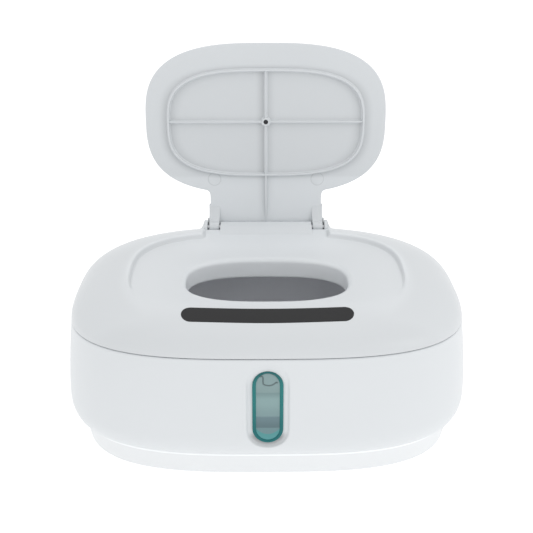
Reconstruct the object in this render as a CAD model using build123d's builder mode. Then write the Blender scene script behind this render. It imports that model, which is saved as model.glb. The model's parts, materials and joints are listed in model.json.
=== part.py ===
"""Baby wipe warmer: a heated tub in a two-part housing, a lift-off cover and a hinged dispensing lid.

Millimetres, +Z up, front towards -Y. The origin is on the counter, under the middle of the housing.
The lid is modelled standing open on its stop, as it rests; it swings forward about the hinge axis.
"""
from build123d import *
from math import acos, asin, cos, degrees, pi, radians, sin, sqrt
import os

os.makedirs("parts", exist_ok=True)

# ---------------------------------------------------------------- housing and pan
FOOT_STAND = 1.5        # underside of the pan above the counter
PAN_RISE = 18.2         # height of the pan
PAN_FOOT_X = 236.8      # outline of the pan's underside
PAN_FOOT_Y = 153.8
PAN_LEDGE = 0.8         # how far the pan's upper edge stands out beyond the housing
PAN_ROUND = 2.2         # rounding round the pan's lower edge
PAN_JOIN = 1.7          # the shelf under the tongue starts this far inside the pan's upper edge
TONGUE_TALL = 3.0       # tongue of the pan inside the housing
BELLY_X = 256.2         # widest outline of the housing
BELLY_Y = 178.4
BELLY_Z = 35.6          # height of the widest outline
BELLY_TUCK = 7.9        # inward curve from the belly down to the pan
TUCK_TURN = 80.0        # degrees of circle in that curve
SEAM_Z = 85.9           # top edge of the housing
SEAM_TAPER = 4.7        # inward lean from the belly up to the seam
SEAM_CURVE = 1.5        # 1 leans straight, more starts gently
HOUSING_POWER = 3.1     # squareness of the outline: 2 is an ellipse
WALL = 2.4              # shell thickness of housing, pan and cover
OUTLINE_POINTS = 24     # points round each outline
SECTION_SPREAD = 1.6    # more than 1 sets the sections closer together low down

# ---------------------------------------------------------------- cover
SEAM_GAP = 0.5          # shadow gap between housing and cover
DOME_RISE = 26.3        # height of the cover's shoulder
SHOULDER = 54.0         # width over which the shoulder curves in
SHOULDER_RATIO = 0.95   # the same width front to back, as a share
DOME_POWER = 2.44       # squareness at the top of the shoulder
TOP_TILT = 2.0          # the top leans forward by this angle
LIP_DEPTH = 5.0         # locating lip below the seam
LIP_WALL = 1.8
LIP_CLEAR = 1.2         # lip to housing wall, where the wall leans in above it
LIP_JOIN = 4.0          # height over which the lip joins the cover's wall
LIP_LAP = 0.6           # how far it reaches into that wall
DOME_STEPS = 6
DOME_TURN = 80.0        # degrees of the quarter ellipse before the flat top

# ---------------------------------------------------------------- hinge and lid
HINGE_Y = 61.0
HINGE_Z = 110.0
LID_LEAN = 5.5          # the open lid leans back by this angle
FLOOR_ABOVE_AXIS = 1.2  # plane of the recess floor above the hinge axis
LID_X = 164.8           # lid outline
LID_Y = 103.2
LID_CENTRE = 74.9       # middle of the lid from the hinge axis
LID_POWER = 2.9
LID_CLEARANCE = 0.4     # lid above the recess floor when closed
RING_TALL = 2.6         # raised ring on the lid's inner face
RING_X = 134.6
RING_Y = 72.6
RING_CENTRE = 72.9
BOSS_CENTRE = 74.0      # middle of the screw boss and its cross rib from the hinge axis
RING_POWER = 3.1
RING_WALL = 1.1
LID_PLATE = 1.4         # thickness of the inner moulding
LID_CROWN = 2.8         # crown of the outer moulding
LID_CROWN_WIDTH = 30.0
LID_SKIN = 1.4
LID_EDGE = 1.4          # side face of the outer moulding
RIB_STEP = 0.4          # ribs lower than the ring
RIB_CLEAR = 2.0         # neck rib to the barrel's ramp
BARREL_R = 3.8          # fixed hinge barrel between the arms
BARREL_X = 63.8
ARM_WIDTH = 7.6
ARM_GAP = 0.5           # arm to barrel, along the axis
EAR_GAP = 1.2           # arm to ear, along the axis
EAR_WIDTH = 2.2
EAR_R = 5.2
KNUCKLE_R = 4.3
KNUCKLE_CLEAR = 0.6
PIN_R = 1.6
PIN_GRIP = 10.0         # pin length inside the barrel
PIN_RUN = 0.05          # running clearance of the arm on its pin
PIN_FIT = 0.02          # clearance of the pin in barrel and ear
BED_DEPTH = 8.5         # solid bed under the hinge axis
RAMP_START = 15.0       # the barrel's ramp begins this far ahead of the axis
NOTCH_X = 84.8          # gap in the recess wall for the lid's neck
NOTCH_AHEAD = 26.0
ARM_FACE = 1.9          # inner face of the arms from the axis
ARM_FLAT = 12.0         # the arms run straight this far, then blend into the lid
ARM_BLEND = 28.0

# ---------------------------------------------------------------- recess and opening
RECESS_MARGIN = 1.4     # recess floor beyond the lid outline
RECESS_DRAFT = 1.0      # outward slope of the recess wall, per mm of height
RECESS_TALL = 8.0       # height to which the recess is cut
THROAT_X = 100.4        # opening through the cover
THROAT_Y = 56.4
THROAT_CENTRE_Y = -22.2
THROAT_POWER = 2.7
THROAT_ROUND = 3.0      # rounded edge of the opening
THROAT_BOTTOM_Z = 96.5
THROAT_DRAFT = 0.4
COLLAR_WALL = 2.0
STRIP_X = 100.4         # soft strip on the front shoulder
STRIP_BOW = 2.4         # its ends lie this far behind its middle
STRIP_WIDTH = 11.6
STRIP_Y = -65.9
STRIP_Z = 104.5
STRIP_SLOPE = 21.7
STRIP_DEPTH = 1.3
STRIP_PROUD = 0.15
STRIP_CLEAR = 0.15

# ---------------------------------------------------------------- tub and heater
TUB_X = 200.0           # outside of the tub at its rim
TUB_Y = 118.0
TUB_POWER = 3.6
TUB_DRAFT = 3.5         # how much narrower it is at the floor, each side
TUB_WALL = 1.8
TUB_FLOOR_Z = 24.0      # underside of the tub
LEDGE_WIDTH = 6.5       # ledge inside the housing that carries the tub
LEDGE_THICK = 2.0
FLANGE_THICK = 1.8
FLANGE_SETBACK = 3.8    # flange edge to housing wall, room for the cover's lip
HEAT_PLATE_MARGIN = 4.0 # heat plate inside the tub's floor outline
HEAT_PLATE_THICK = 1.5
FILM_THICK = 0.5
FILM_MARGIN = 5.0       # heater film inside the heat plate
PAD_THICK = 6.0
PAD_MARGIN = 3.0        # insulation beyond the heat plate
FILM_TAB_X = 24.0
FILM_TAB_WIDTH = 16.0
FILM_TAB_END = 64.0
PILLAR_R = 4.0
PILLAR_X = 140.0
PILLAR_Y = 70.0
THERMOSTAT_R = 8.0
THERMOSTAT_TALL = 7.0
THERMOSTAT_EDGE = 1.0
THERMOSTAT_X = -40.0
THERMOSTAT_Y = 18.0
FUSE_R = 2.0
FUSE_EDGE = 0.6
FUSE_LENGTH = 12.0
FUSE_X = 40.0
FUSE_Y = -12.0
PART_CLEAR = 0.3        # general clearance between pieces of one body

# ---------------------------------------------------------------- electronics
BOARD_X = 64.0
BOARD_TALL = 36.0
BOARD_THICK = 1.6
BOARD_Y = 72.0          # front face of the board
BOARD_Z = 6.0           # lower edge of the board
RAIL_SIZE = 6.0
RAIL_TOP_Z = 24.0
JACK_Z = 36.0
JACK_X = 14.0
JACK_TALL = 12.0
JACK_BARREL_R = 5.5
JACK_BORE_R = 3.15
JACK_PIN_R = 1.0
JACK_DEPTH = 9.5
JACK_CLEAR = 0.2
LEAD_R = 0.8
BEND_SHARE = 0.45       # share of the shorter run that a lead's bend takes up
LEAD_PITCH = 3.0
LEAD_Z = 9.0
CONNECTOR_DEEP = 4.0
CHIP_SPREAD = 14.0      # regulator and capacitor each side of the board's middle
CHIP_Z = 31.0
REGULATOR_X = 15.0
REGULATOR_DEEP = 2.5
CAPACITOR_R = 4.0
CAPACITOR_DEEP = 4.5
JACK_FLUSH = 0.3        # inlet face inside the housing's back surface
BOARD_SLIP = 0.3        # slot in the rails wider than the board

# ---------------------------------------------------------------- window
WINDOW_Z = 56.4
WINDOW_X = 18.0
WINDOW_TALL = 45.4
WINDOW_RIM = 2.2
WINDOW_PROUD = 0.4
POCKET_X = 25.5
POCKET_TALL = 55.0
POCKET_DEPTH = 1.0
POCKET_TAPER = 30.0     # degrees
WINDOW_SEAT = 0.7       # counterbore below the pocket
SLEEVE_STEP = 0.8       # sleeve smaller than the frame, each side
SLEEVE_WALL = 1.4
LENS_THICK = 1.6
LENS_SUNK = 0.3

# ---------------------------------------------------------------- fasteners and feet
FOOT_R = 8.0
FOOT_SINK = 1.0
FOOT_X = 170.0
FOOT_Y = 100.0
SCREW_R = 1.45
SCREW_HOLE = 0.05
SCREW_HEAD_R = 3.0
SCREW_HEAD_TALL = 2.2
SCREW_BITE = 12.0
SCREW_SPARE = 2.0       # hole deeper than its screw
SCREW_SEAT = 5.0        # seat of the screw head below the housing
POST_R = 4.0
POST_TOP_Z = 60.0
RIB_THICK = 2.0
LINER_THICK = 1.6
LINER_MARGIN = 1.0
LINER_POST_R = 3.2
LINER_POST_X = 150.0
LINER_POST_Y = 84.0
LINER_SCREW_R = 1.0
PLUG_R = 4.3
PLUG_X = 72.0
PLUG_FROM_AXIS = 33.8
PLUG_HEAD = 0.9
BOSS_R = 2.8
BOSS_HOLE_R = 1.6
SCREW_UNDER = 0.6       # floor of the boss hole ahead of the plate
LID_SCREW_R = 0.8
LID_HEAD_TALL = 1.0
LID_SCREW_BITE = 1.0    # reach of plugs and screw into the outer moulding
PLUG_PROUD = 0.15
PLUG_CLEAR = 0.1
LINER_SCREW_BITE = 6.0
LINER_HEAD_TALL = 1.4

# ---------------------------------------------------------------- derived values
HOUSING_BASE_Z = FOOT_STAND + PAN_RISE
BODY_DIFFERENCE = (BELLY_X - BELLY_Y) / 2
SEAM_X = BELLY_X - 2 * SEAM_TAPER
SEAM_Y = BELLY_Y - 2 * SEAM_TAPER
PAN_FLOOR_Z = FOOT_STAND + WALL
LEDGE_TOP_Z = SEAM_Z - LIP_DEPTH - PART_CLEAR
FLANGE_TOP_Z = LEDGE_TOP_Z + FLANGE_THICK
CLOSED = TOP_TILT                   # angle of the closed lid about the hinge
OPEN = -90.0 - LID_LEAN             # angle of the open lid about the hinge
RING_CREST = FLOOR_ABOVE_AXIS + LID_CLEARANCE
LID_FACE = RING_CREST + RING_TALL   # inner face of the lid from the axis
LID_PARTING = LID_FACE + LID_PLATE
ARM_INNER = BARREL_X / 2 + ARM_GAP
ARM_OUTER = ARM_INNER + ARM_WIDTH
EAR_INNER = ARM_OUTER + EAR_GAP
EAR_OUTER = EAR_INNER + EAR_WIDTH
NECK_X = 2 * ARM_OUTER
NECK_END = 1.5                      # the neck stops this far from the axis
HEAT_PLATE_Z = TUB_FLOOR_Z - HEAT_PLATE_THICK
FILM_Z = HEAT_PLATE_Z - FILM_THICK
PAD_Z = FILM_Z - PAD_THICK
SCREW_SEAT_Z = HOUSING_BASE_Z - SCREW_SEAT


# ---------------------------------------------------------------- shape helpers
def superellipse(half_x, half_y, power):
    """Points of |x/half_x|^power + |y/half_y|^power = 1, evenly turned, starting on +X."""
    points = []
    for step in range(OUTLINE_POINTS):
        turn = 2 * pi * step / OUTLINE_POINTS
        reach = (abs(cos(turn)) ** power + abs(sin(turn)) ** power) ** (-1 / power)
        points.append((half_x * reach * cos(turn), half_y * reach * sin(turn)))
    return points


def outline(half_x, half_y, power):
    """Flat face inside one superellipse."""
    with BuildSketch() as face:
        with BuildLine():
            Spline(*superellipse(half_x, half_y, power), periodic=True)
        make_face()
    return face.sketch


def stack(sections):
    """Solid lofted through superellipse sections, each (plane, half_x, half_y, power)."""
    with BuildPart() as solid:
        for plane, half_x, half_y, power in sections:
            with BuildSketch(plane):
                add(outline(half_x, half_y, power))
        loft()
    return solid.part


def housing_half(z):
    """Half width of the housing at height z: curved in below the belly, leaning in above it."""
    if z >= BELLY_Z:
        share = (z - BELLY_Z) / (SEAM_Z - BELLY_Z)
        return BELLY_X / 2 - SEAM_TAPER * share ** SEAM_CURVE
    reach = sin(radians(TUCK_TURN)) * (BELLY_Z - z) / (BELLY_Z - HOUSING_BASE_Z)
    return BELLY_X / 2 - BELLY_TUCK * (1 - sqrt(1 - reach ** 2)) / (1 - cos(radians(TUCK_TURN)))


def housing_sections(inset, low=HOUSING_BASE_Z, high=SEAM_Z, steps=6):
    """Sections of the housing between two heights, moved inwards by inset."""
    sections = []
    for step in range(steps + 1):
        z = low + (high - low) * (step / steps) ** SECTION_SPREAD
        half = housing_half(z) - inset
        sections.append((Plane.XY.offset(z), half, half - BODY_DIFFERENCE, HOUSING_POWER))
    return sections


def tilted_plane(y, z, angle):
    """Plane through (0, y, z) whose normal leans forward from +Z by angle."""
    up = (0, -sin(radians(angle)), cos(radians(angle)))
    return Plane(origin=(0, y, z), x_dir=(1, 0, 0), z_dir=up)


def dome_sections(inset):
    """Quarter-ellipse shoulder of the cover, moved inwards by inset, leaning forward as it rises."""
    sections = []
    for step in range(DOME_STEPS + 1):
        turn = radians(DOME_TURN * step / DOME_STEPS)
        share = sin(turn)
        drawn_in = SHOULDER * (1 - cos(turn)) + inset
        half_x = SEAM_X / 2 - drawn_in
        half_y = SEAM_Y / 2 - SHOULDER_RATIO * (drawn_in - inset) - inset
        power = HOUSING_POWER + (DOME_POWER - HOUSING_POWER) * share
        z = SEAM_Z + SEAM_GAP + (DOME_RISE - inset) * share
        sections.append((tilted_plane(0, z, TOP_TILT * share), half_x, half_y, power))
    return sections


def from_hinge(angle, ahead, above):
    """Plane parallel to the lid at an angle, ahead of the hinge axis and above it. Local Y points back."""
    turn = radians(angle)
    y = HINGE_Y - ahead * cos(turn) - above * sin(turn)
    z = HINGE_Z - ahead * sin(turn) + above * cos(turn)
    return tilted_plane(y, z, angle)


def hinge_side(angle, x):
    """Plane across the hinge axis at x. Its local X runs ahead of the axis, its local Y above it."""
    turn = radians(angle)
    return Plane(origin=(x, HINGE_Y, HINGE_Z), x_dir=(0, -cos(turn), -sin(turn)), z_dir=(-1, 0, 0))


def save(solid, name):
    """Labels a finished piece and writes its STEP file."""
    solid.label = name
    export_step(solid, f"parts/{name}.step")


# ---------------------------------------------------------------- places shared by several pieces
def corner_between(outer_x, outer_y, outer_power, inner_x, inner_y, inner_power):
    """Point midway between two outlines on their rounded corners, in the +X +Y quarter."""
    outer = superellipse(outer_x, outer_y, outer_power)[OUTLINE_POINTS // 8]
    inner = superellipse(inner_x, inner_y, inner_power)[OUTLINE_POINTS // 8]
    return ((outer[0] + inner[0]) / 2, (outer[1] + inner[1]) / 2)


post_x, post_y = corner_between(PAN_FOOT_X / 2 - WALL, PAN_FOOT_Y / 2 - WALL, HOUSING_POWER,
                                TUB_X / 2, TUB_Y / 2, TUB_POWER)
post_places = [(sx * post_x, sy * post_y) for sx in (-1, 1) for sy in (-1, 1)]
rail_places = [(side * BOARD_X / 2, BOARD_Y + BOARD_THICK / 2) for side in (-1, 1)]
foot_places = [(sx * FOOT_X / 2, sy * FOOT_Y / 2) for sx in (-1, 1) for sy in (-1, 1)]

window_slope = (housing_half(WINDOW_Z - 5) - housing_half(WINDOW_Z + 5)) / 10
window_y = -(housing_half(WINDOW_Z) - BODY_DIFFERENCE)


def window_plane(depth):
    """Plane of the window, depth mm inside the housing's front surface. Local Y is up."""
    length = sqrt(1 + window_slope ** 2)
    out = (0, -1 / length, window_slope / length)
    origin = (0, window_y - out[1] * depth, WINDOW_Z - out[2] * depth)
    return Plane(origin=origin, x_dir=(1, 0, 0), z_dir=out)


# ---------------------------------------------------------------- outer housing
housing_outer = stack(housing_sections(0))
housing_inner = stack(housing_sections(WALL))
ledge_low = LEDGE_TOP_Z - LEDGE_THICK
ledge_outer = stack(housing_sections(WALL / 2, ledge_low, LEDGE_TOP_Z, 1))
ledge_inner = stack(housing_sections(WALL + LEDGE_WIDTH, ledge_low, LEDGE_TOP_Z, 1))


def post_outline(grow):
    """The four screw posts with their ribs out to the wall, seen from above and grown by a clearance."""
    with BuildSketch() as posts:
        for place_x, place_y in post_places:
            reach = Vector(place_x, place_y).normalized() * (BELLY_X - TUB_X)
            with BuildLine():
                Line((place_x, place_y), (place_x + reach.X, place_y + reach.Y))
            trace(line_width=RIB_THICK + 2 * grow)
            with Locations((place_x, place_y)):
                Circle(POST_R + grow)
    return posts.sketch


with BuildPart() as housing_posts:
    add(housing_outer)
    with BuildSketch(Plane.XY.offset(HOUSING_BASE_Z)):
        add(post_outline(0))
    extrude(amount=POST_TOP_Z - HOUSING_BASE_Z, mode=Mode.INTERSECT)

with BuildPart() as outer_housing:
    add(housing_outer)
    add(housing_inner, mode=Mode.SUBTRACT)
    add(ledge_outer)
    add(ledge_inner, mode=Mode.SUBTRACT)
    add(housing_posts.part)
    with BuildSketch(Plane.XY.offset(HOUSING_BASE_Z)):
        with Locations(*post_places):
            Circle(SCREW_R + SCREW_HOLE)
    extrude(amount=SCREW_BITE + SCREW_SPARE, mode=Mode.SUBTRACT)
    with BuildSketch(window_plane(POCKET_DEPTH)):
        SlotOverall(POCKET_TALL, POCKET_X, rotation=90)
    extrude(amount=POCKET_DEPTH + WALL, taper=-POCKET_TAPER, mode=Mode.SUBTRACT)
    with BuildSketch(window_plane(POCKET_DEPTH + WINDOW_SEAT)):
        SlotOverall(WINDOW_TALL + PART_CLEAR, WINDOW_X + PART_CLEAR, rotation=90)
    extrude(amount=WINDOW_SEAT + WALL, mode=Mode.SUBTRACT)
    with BuildSketch(window_plane(0)):
        SlotOverall(WINDOW_TALL - 2 * SLEEVE_STEP, WINDOW_X - 2 * SLEEVE_STEP, rotation=90)
    extrude(amount=-3 * WALL, mode=Mode.SUBTRACT)
    with BuildSketch(Plane.XZ.offset(-BOARD_Y)):
        with Locations((0, JACK_Z)):
            Circle(JACK_BARREL_R + JACK_CLEAR)
    extrude(amount=-BELLY_Y, mode=Mode.SUBTRACT)
save(outer_housing.part, "outer_housing")

# ---------------------------------------------------------------- base pan
pan_top = housing_half(HOUSING_BASE_Z) + PAN_LEDGE
pan_low_x = PAN_FOOT_X / 2
pan_low_y = PAN_FOOT_Y / 2


def pan_sections(inset, low):
    """Sections of the pan, moved inwards by inset, from a height up to the housing."""
    sections = []
    for z in (low, HOUSING_BASE_Z):
        part_way = (z - FOOT_STAND) / PAN_RISE
        half_x = pan_low_x + (pan_top - pan_low_x) * part_way - inset
        half_y = pan_low_y + (pan_top - BODY_DIFFERENCE - pan_low_y) * part_way - inset
        sections.append((Plane.XY.offset(z), half_x, half_y, HOUSING_POWER))
    return sections


tongue_top = HOUSING_BASE_Z + TONGUE_TALL
tongue = housing_half(HOUSING_BASE_Z) - WALL - PART_CLEAR
tongue_in = tongue - LIP_WALL
with BuildPart() as base_pan:
    add(stack(pan_sections(0, FOOT_STAND)))
    fillet(base_pan.edges().sort_by(Axis.Z)[0], PAN_ROUND)
    fillet(base_pan.edges().sort_by(Axis.Z)[-1], PAN_LEDGE / 2)
    add(stack(pan_sections(WALL, PAN_FLOOR_Z)), mode=Mode.SUBTRACT)
    for ring_half, ring_low, ring_high in ((pan_top - PAN_JOIN, HOUSING_BASE_Z - WALL, HOUSING_BASE_Z),
                                           (tongue, HOUSING_BASE_Z - WALL / 2, tongue_top)):
        with BuildSketch(Plane.XY.offset(ring_low)):
            add(outline(ring_half, ring_half - BODY_DIFFERENCE, HOUSING_POWER))
            add(outline(tongue_in, tongue_in - BODY_DIFFERENCE, HOUSING_POWER), mode=Mode.SUBTRACT)
        extrude(amount=ring_high - ring_low)
    with BuildSketch(Plane.XY.offset(HOUSING_BASE_Z)):
        add(post_outline(PART_CLEAR))
    extrude(amount=tongue_top - HOUSING_BASE_Z, mode=Mode.SUBTRACT)
    with BuildSketch(Plane.XY.offset(PAN_FLOOR_Z)):
        with Locations(*post_places):
            Circle(POST_R)
    extrude(amount=HOUSING_BASE_Z - PAN_FLOOR_Z)
    with BuildSketch(Plane.XY.offset(PAN_FLOOR_Z)):
        with GridLocations(PILLAR_X, PILLAR_Y, 2, 2):
            Circle(PILLAR_R)
    extrude(amount=PAD_Z - PAN_FLOOR_Z)
    with BuildSketch(Plane.XY.offset(FOOT_STAND)):
        with Locations(*post_places):
            Circle(SCREW_R + PART_CLEAR)
    extrude(amount=PAN_RISE, mode=Mode.SUBTRACT)
    with BuildSketch(Plane.XY.offset(FOOT_STAND)):
        with Locations(*post_places):
            Circle(SCREW_HEAD_R + PART_CLEAR)
    extrude(amount=SCREW_SEAT_Z - FOOT_STAND, mode=Mode.SUBTRACT)
    with BuildSketch(Plane.XY.offset(FOOT_STAND)):
        with Locations(*foot_places):
            Circle(FOOT_R + PART_CLEAR)
    extrude(amount=FOOT_SINK, mode=Mode.SUBTRACT)
    with BuildSketch(Plane.XY.offset(PAN_FLOOR_Z)):
        with Locations(*rail_places):
            Rectangle(RAIL_SIZE, RAIL_SIZE)
    extrude(amount=RAIL_TOP_Z - PAN_FLOOR_Z)
    with BuildSketch(Plane.XY.offset(BOARD_Z)):
        with Locations((0, BOARD_Y + BOARD_THICK / 2)):
            Rectangle(BOARD_X + BOARD_SLIP, BOARD_THICK + BOARD_SLIP)
    extrude(amount=RAIL_TOP_Z, mode=Mode.SUBTRACT)
save(base_pan.part, "base_pan")

with BuildPart() as rubber_feet:
    with BuildSketch():
        with Locations(*foot_places):
            Circle(FOOT_R)
    extrude(amount=FOOT_STAND + FOOT_SINK)
save(rubber_feet.part, "rubber_feet")

with BuildPart() as base_screws:
    with BuildSketch(Plane.XY.offset(SCREW_SEAT_Z - SCREW_HEAD_TALL)):
        with Locations(*post_places):
            Circle(SCREW_HEAD_R)
            RegularPolygon(SCREW_HEAD_R / 2, 6, mode=Mode.SUBTRACT)
    extrude(amount=SCREW_HEAD_TALL)
    with BuildSketch(Plane.XY.offset(SCREW_SEAT_Z - SCREW_HEAD_TALL / 2)):
        with Locations(*post_places):
            Circle(SCREW_R)
    extrude(amount=HOUSING_BASE_Z + SCREW_BITE - SCREW_SEAT_Z + SCREW_HEAD_TALL / 2)
save(base_screws.part, "base_screws")

# ---------------------------------------------------------------- inner tub
flange_half = housing_half(LEDGE_TOP_Z) - WALL - FLANGE_SETBACK


def tub_sections(inset, low):
    """Sections of the tub from a height up to its rim, moved inwards by inset."""
    sections = []
    for z in (low, FLANGE_TOP_Z):
        drawn_in = TUB_DRAFT * (FLANGE_TOP_Z - z) / (FLANGE_TOP_Z - TUB_FLOOR_Z) + inset
        sections.append((Plane.XY.offset(z), TUB_X / 2 - drawn_in, TUB_Y / 2 - drawn_in, TUB_POWER))
    return sections


tub_outer = stack(tub_sections(0, TUB_FLOOR_Z))
with BuildPart() as inner_tub:
    add(tub_outer)
    with BuildSketch(Plane.XY.offset(LEDGE_TOP_Z)):
        add(outline(flange_half, flange_half - BODY_DIFFERENCE, HOUSING_POWER))
    extrude(amount=FLANGE_THICK)
    add(stack(tub_sections(TUB_WALL, TUB_FLOOR_Z + TUB_WALL)), mode=Mode.SUBTRACT)
    with BuildSketch(window_plane(0)):
        SlotOverall(WINDOW_TALL - 2 * SLEEVE_STEP - 2 * SLEEVE_WALL,
                    WINDOW_X - 2 * SLEEVE_STEP - 2 * SLEEVE_WALL, rotation=90)
    extrude(amount=-(BELLY_Y / 2 - TUB_Y / 2 + 3 * TUB_WALL + TUB_DRAFT), mode=Mode.SUBTRACT)
save(inner_tub.part, "inner_tub")

# ---------------------------------------------------------------- heater stack under the tub
def under_tub(inset):
    """Flat outline like the tub's floor, moved inwards by inset."""
    return outline(TUB_X / 2 - TUB_DRAFT - inset, TUB_Y / 2 - TUB_DRAFT - inset, TUB_POWER)


with BuildPart() as heat_plate:
    with BuildSketch(Plane.XY.offset(HEAT_PLATE_Z)):
        add(under_tub(HEAT_PLATE_MARGIN))
    extrude(amount=HEAT_PLATE_THICK)
save(heat_plate.part, "heat_plate")

with BuildPart() as heater_film:
    with BuildSketch(Plane.XY.offset(FILM_Z)):
        add(under_tub(HEAT_PLATE_MARGIN + FILM_MARGIN))
        with Locations((FILM_TAB_X, FILM_TAB_END / 2)):
            Rectangle(FILM_TAB_WIDTH, FILM_TAB_END)
    extrude(amount=FILM_THICK)
save(heater_film.part, "heater_film")

with BuildPart() as insulation_pad:
    with BuildSketch(Plane.XY.offset(PAD_Z)):
        add(under_tub(HEAT_PLATE_MARGIN - PAD_MARGIN))
        with Locations((THERMOSTAT_X, THERMOSTAT_Y)):
            Circle(THERMOSTAT_R + PART_CLEAR, mode=Mode.SUBTRACT)
        with Locations((FUSE_X, FUSE_Y)):
            Rectangle(FUSE_LENGTH + 2 * PART_CLEAR, 2 * FUSE_R + 2 * PART_CLEAR, mode=Mode.SUBTRACT)
    extrude(amount=PAD_THICK)
save(insulation_pad.part, "insulation_pad")

with BuildPart() as thermostat:
    with BuildSketch(Plane.XY.offset(FILM_Z - THERMOSTAT_TALL)):
        with Locations((THERMOSTAT_X, THERMOSTAT_Y)):
            Circle(THERMOSTAT_R)
    extrude(amount=THERMOSTAT_TALL)
    chamfer(thermostat.edges().sort_by(Axis.Z)[0], THERMOSTAT_EDGE)
save(thermostat.part, "thermostat")

with BuildPart() as thermal_fuse:
    with BuildSketch(Plane.YZ.offset(FUSE_X - FUSE_LENGTH / 2)):
        with Locations((FUSE_Y, FILM_Z - FUSE_R)):
            Circle(FUSE_R)
    extrude(amount=FUSE_LENGTH)
    fillet(thermal_fuse.edges(), FUSE_EDGE)
save(thermal_fuse.part, "thermal_fuse")

# ---------------------------------------------------------------- control board and inlet
with BuildPart() as control_board:
    with BuildSketch(Plane.XZ.offset(-BOARD_Y)):
        with Locations((0, BOARD_Z + BOARD_TALL / 2)):
            Rectangle(BOARD_X, BOARD_TALL)
    extrude(amount=-BOARD_THICK)
save(control_board.part, "control_board")

connector_x = FILM_TAB_X - FILM_TAB_WIDTH / 4
with BuildPart() as board_connector:
    with BuildSketch(Plane.XZ.offset(-BOARD_Y)):
        with Locations((connector_x - LEAD_PITCH / 2, LEAD_Z), (-connector_x - LEAD_PITCH / 2, LEAD_Z)):
            Rectangle(4 * LEAD_PITCH, 2 * LEAD_PITCH)
    extrude(amount=CONNECTOR_DEEP)
save(board_connector.part, "board_connector")

with BuildPart() as board_regulator:
    with BuildSketch(Plane.XZ.offset(-BOARD_Y)):
        with Locations((-CHIP_SPREAD, CHIP_Z)):
            Rectangle(REGULATOR_X, REGULATOR_X)
    extrude(amount=REGULATOR_DEEP)
save(board_regulator.part, "board_regulator")

with BuildPart() as board_capacitor:
    with BuildSketch(Plane.XZ.offset(-BOARD_Y)):
        with Locations((CHIP_SPREAD, CHIP_Z)):
            Circle(CAPACITOR_R)
    extrude(amount=CAPACITOR_DEEP)
save(board_capacitor.part, "board_capacitor")

jack_wall_y = housing_half(JACK_Z) - BODY_DIFFERENCE
jack_back = housing_half(JACK_Z - JACK_TALL / 2) - BODY_DIFFERENCE - WALL - PART_CLEAR
jack_front = BOARD_Y + BOARD_THICK
with BuildPart() as dc_jack:
    with BuildSketch(Plane.XZ.offset(-jack_front)):
        with Locations((0, JACK_Z)):
            Rectangle(JACK_X, JACK_TALL)
    extrude(amount=-(jack_back - jack_front))
    with BuildSketch(Plane.XZ.offset(-jack_back)):
        with Locations((0, JACK_Z)):
            Circle(JACK_BARREL_R)
    extrude(amount=-(jack_wall_y - JACK_FLUSH - jack_back))
    with BuildSketch(Plane.XZ.offset(-(jack_wall_y - JACK_FLUSH))):
        with Locations((0, JACK_Z)):
            Circle(JACK_BORE_R)
            Circle(JACK_PIN_R, mode=Mode.SUBTRACT)
    extrude(amount=JACK_DEPTH, mode=Mode.SUBTRACT)
save(dc_jack.part, "dc_jack")


def lead_pair(points, name):
    """Two leads side by side along one route of straight runs and tangent arcs."""
    runs = [(Vector(*b) - Vector(*a)) for a, b in zip(points, points[1:])]
    radii = []
    for before, after in zip(runs, runs[1:]):
        half_turn = radians(before.get_angle(after)) / 2
        radii.append(BEND_SHARE * min(before.length, after.length) * cos(half_turn) / sin(half_turn))
    print(name, "bend radii", [round(radius, 1) for radius in radii])
    with BuildPart() as leads:
        for shift in (0, -LEAD_PITCH):
            moved = [(x + shift, y, z) for x, y, z in points]
            with BuildLine():
                path = FilletPolyline(*moved, radius=radii)
            with BuildSketch(Plane(origin=path @ 0, z_dir=path % 0)):
                Circle(LEAD_R)
            sweep(path=path)
    save(leads.part, name)


lead_start_y = BOARD_Y - CONNECTOR_DEEP
lead_pair([(connector_x, lead_start_y, LEAD_Z),
           (connector_x, FILM_TAB_END - 3, LEAD_Z),
           (connector_x, FILM_TAB_END - 3, FILM_Z)], "heater_leads")
terminal_x = THERMOSTAT_X + LEAD_PITCH / 2
lead_pair([(-connector_x, lead_start_y, LEAD_Z),
           (-connector_x, lead_start_y - 3 * CONNECTOR_DEEP, LEAD_Z),
           (terminal_x, THERMOSTAT_Y, LEAD_Z),
           (terminal_x, THERMOSTAT_Y, FILM_Z - THERMOSTAT_TALL)], "thermostat_leads")

# ---------------------------------------------------------------- window
sleeve_tall = WINDOW_TALL - 2 * SLEEVE_STEP
sleeve_x = WINDOW_X - 2 * SLEEVE_STEP
lens_tall = WINDOW_TALL - 2 * WINDOW_RIM
lens_x = WINDOW_X - 2 * WINDOW_RIM
with BuildPart() as window_frame:
    with BuildSketch(window_plane(POCKET_DEPTH + WINDOW_SEAT)):
        SlotOverall(WINDOW_TALL, WINDOW_X, rotation=90)
        SlotOverall(lens_tall, lens_x, rotation=90, mode=Mode.SUBTRACT)
    extrude(amount=POCKET_DEPTH + WINDOW_SEAT + WINDOW_PROUD)
    with BuildSketch(window_plane(POCKET_DEPTH + WINDOW_SEAT)):
        SlotOverall(sleeve_tall - PART_CLEAR, sleeve_x - PART_CLEAR, rotation=90)
        SlotOverall(lens_tall, lens_x, rotation=90, mode=Mode.SUBTRACT)
    extrude(amount=-WALL)
save(window_frame.part, "window_frame")

with BuildPart() as sight_lens:
    with BuildSketch(window_plane(LENS_THICK + LENS_SUNK - WINDOW_PROUD)):
        SlotOverall(lens_tall, lens_x, rotation=90)
    extrude(amount=LENS_THICK)
save(sight_lens.part, "sight_lens")

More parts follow.
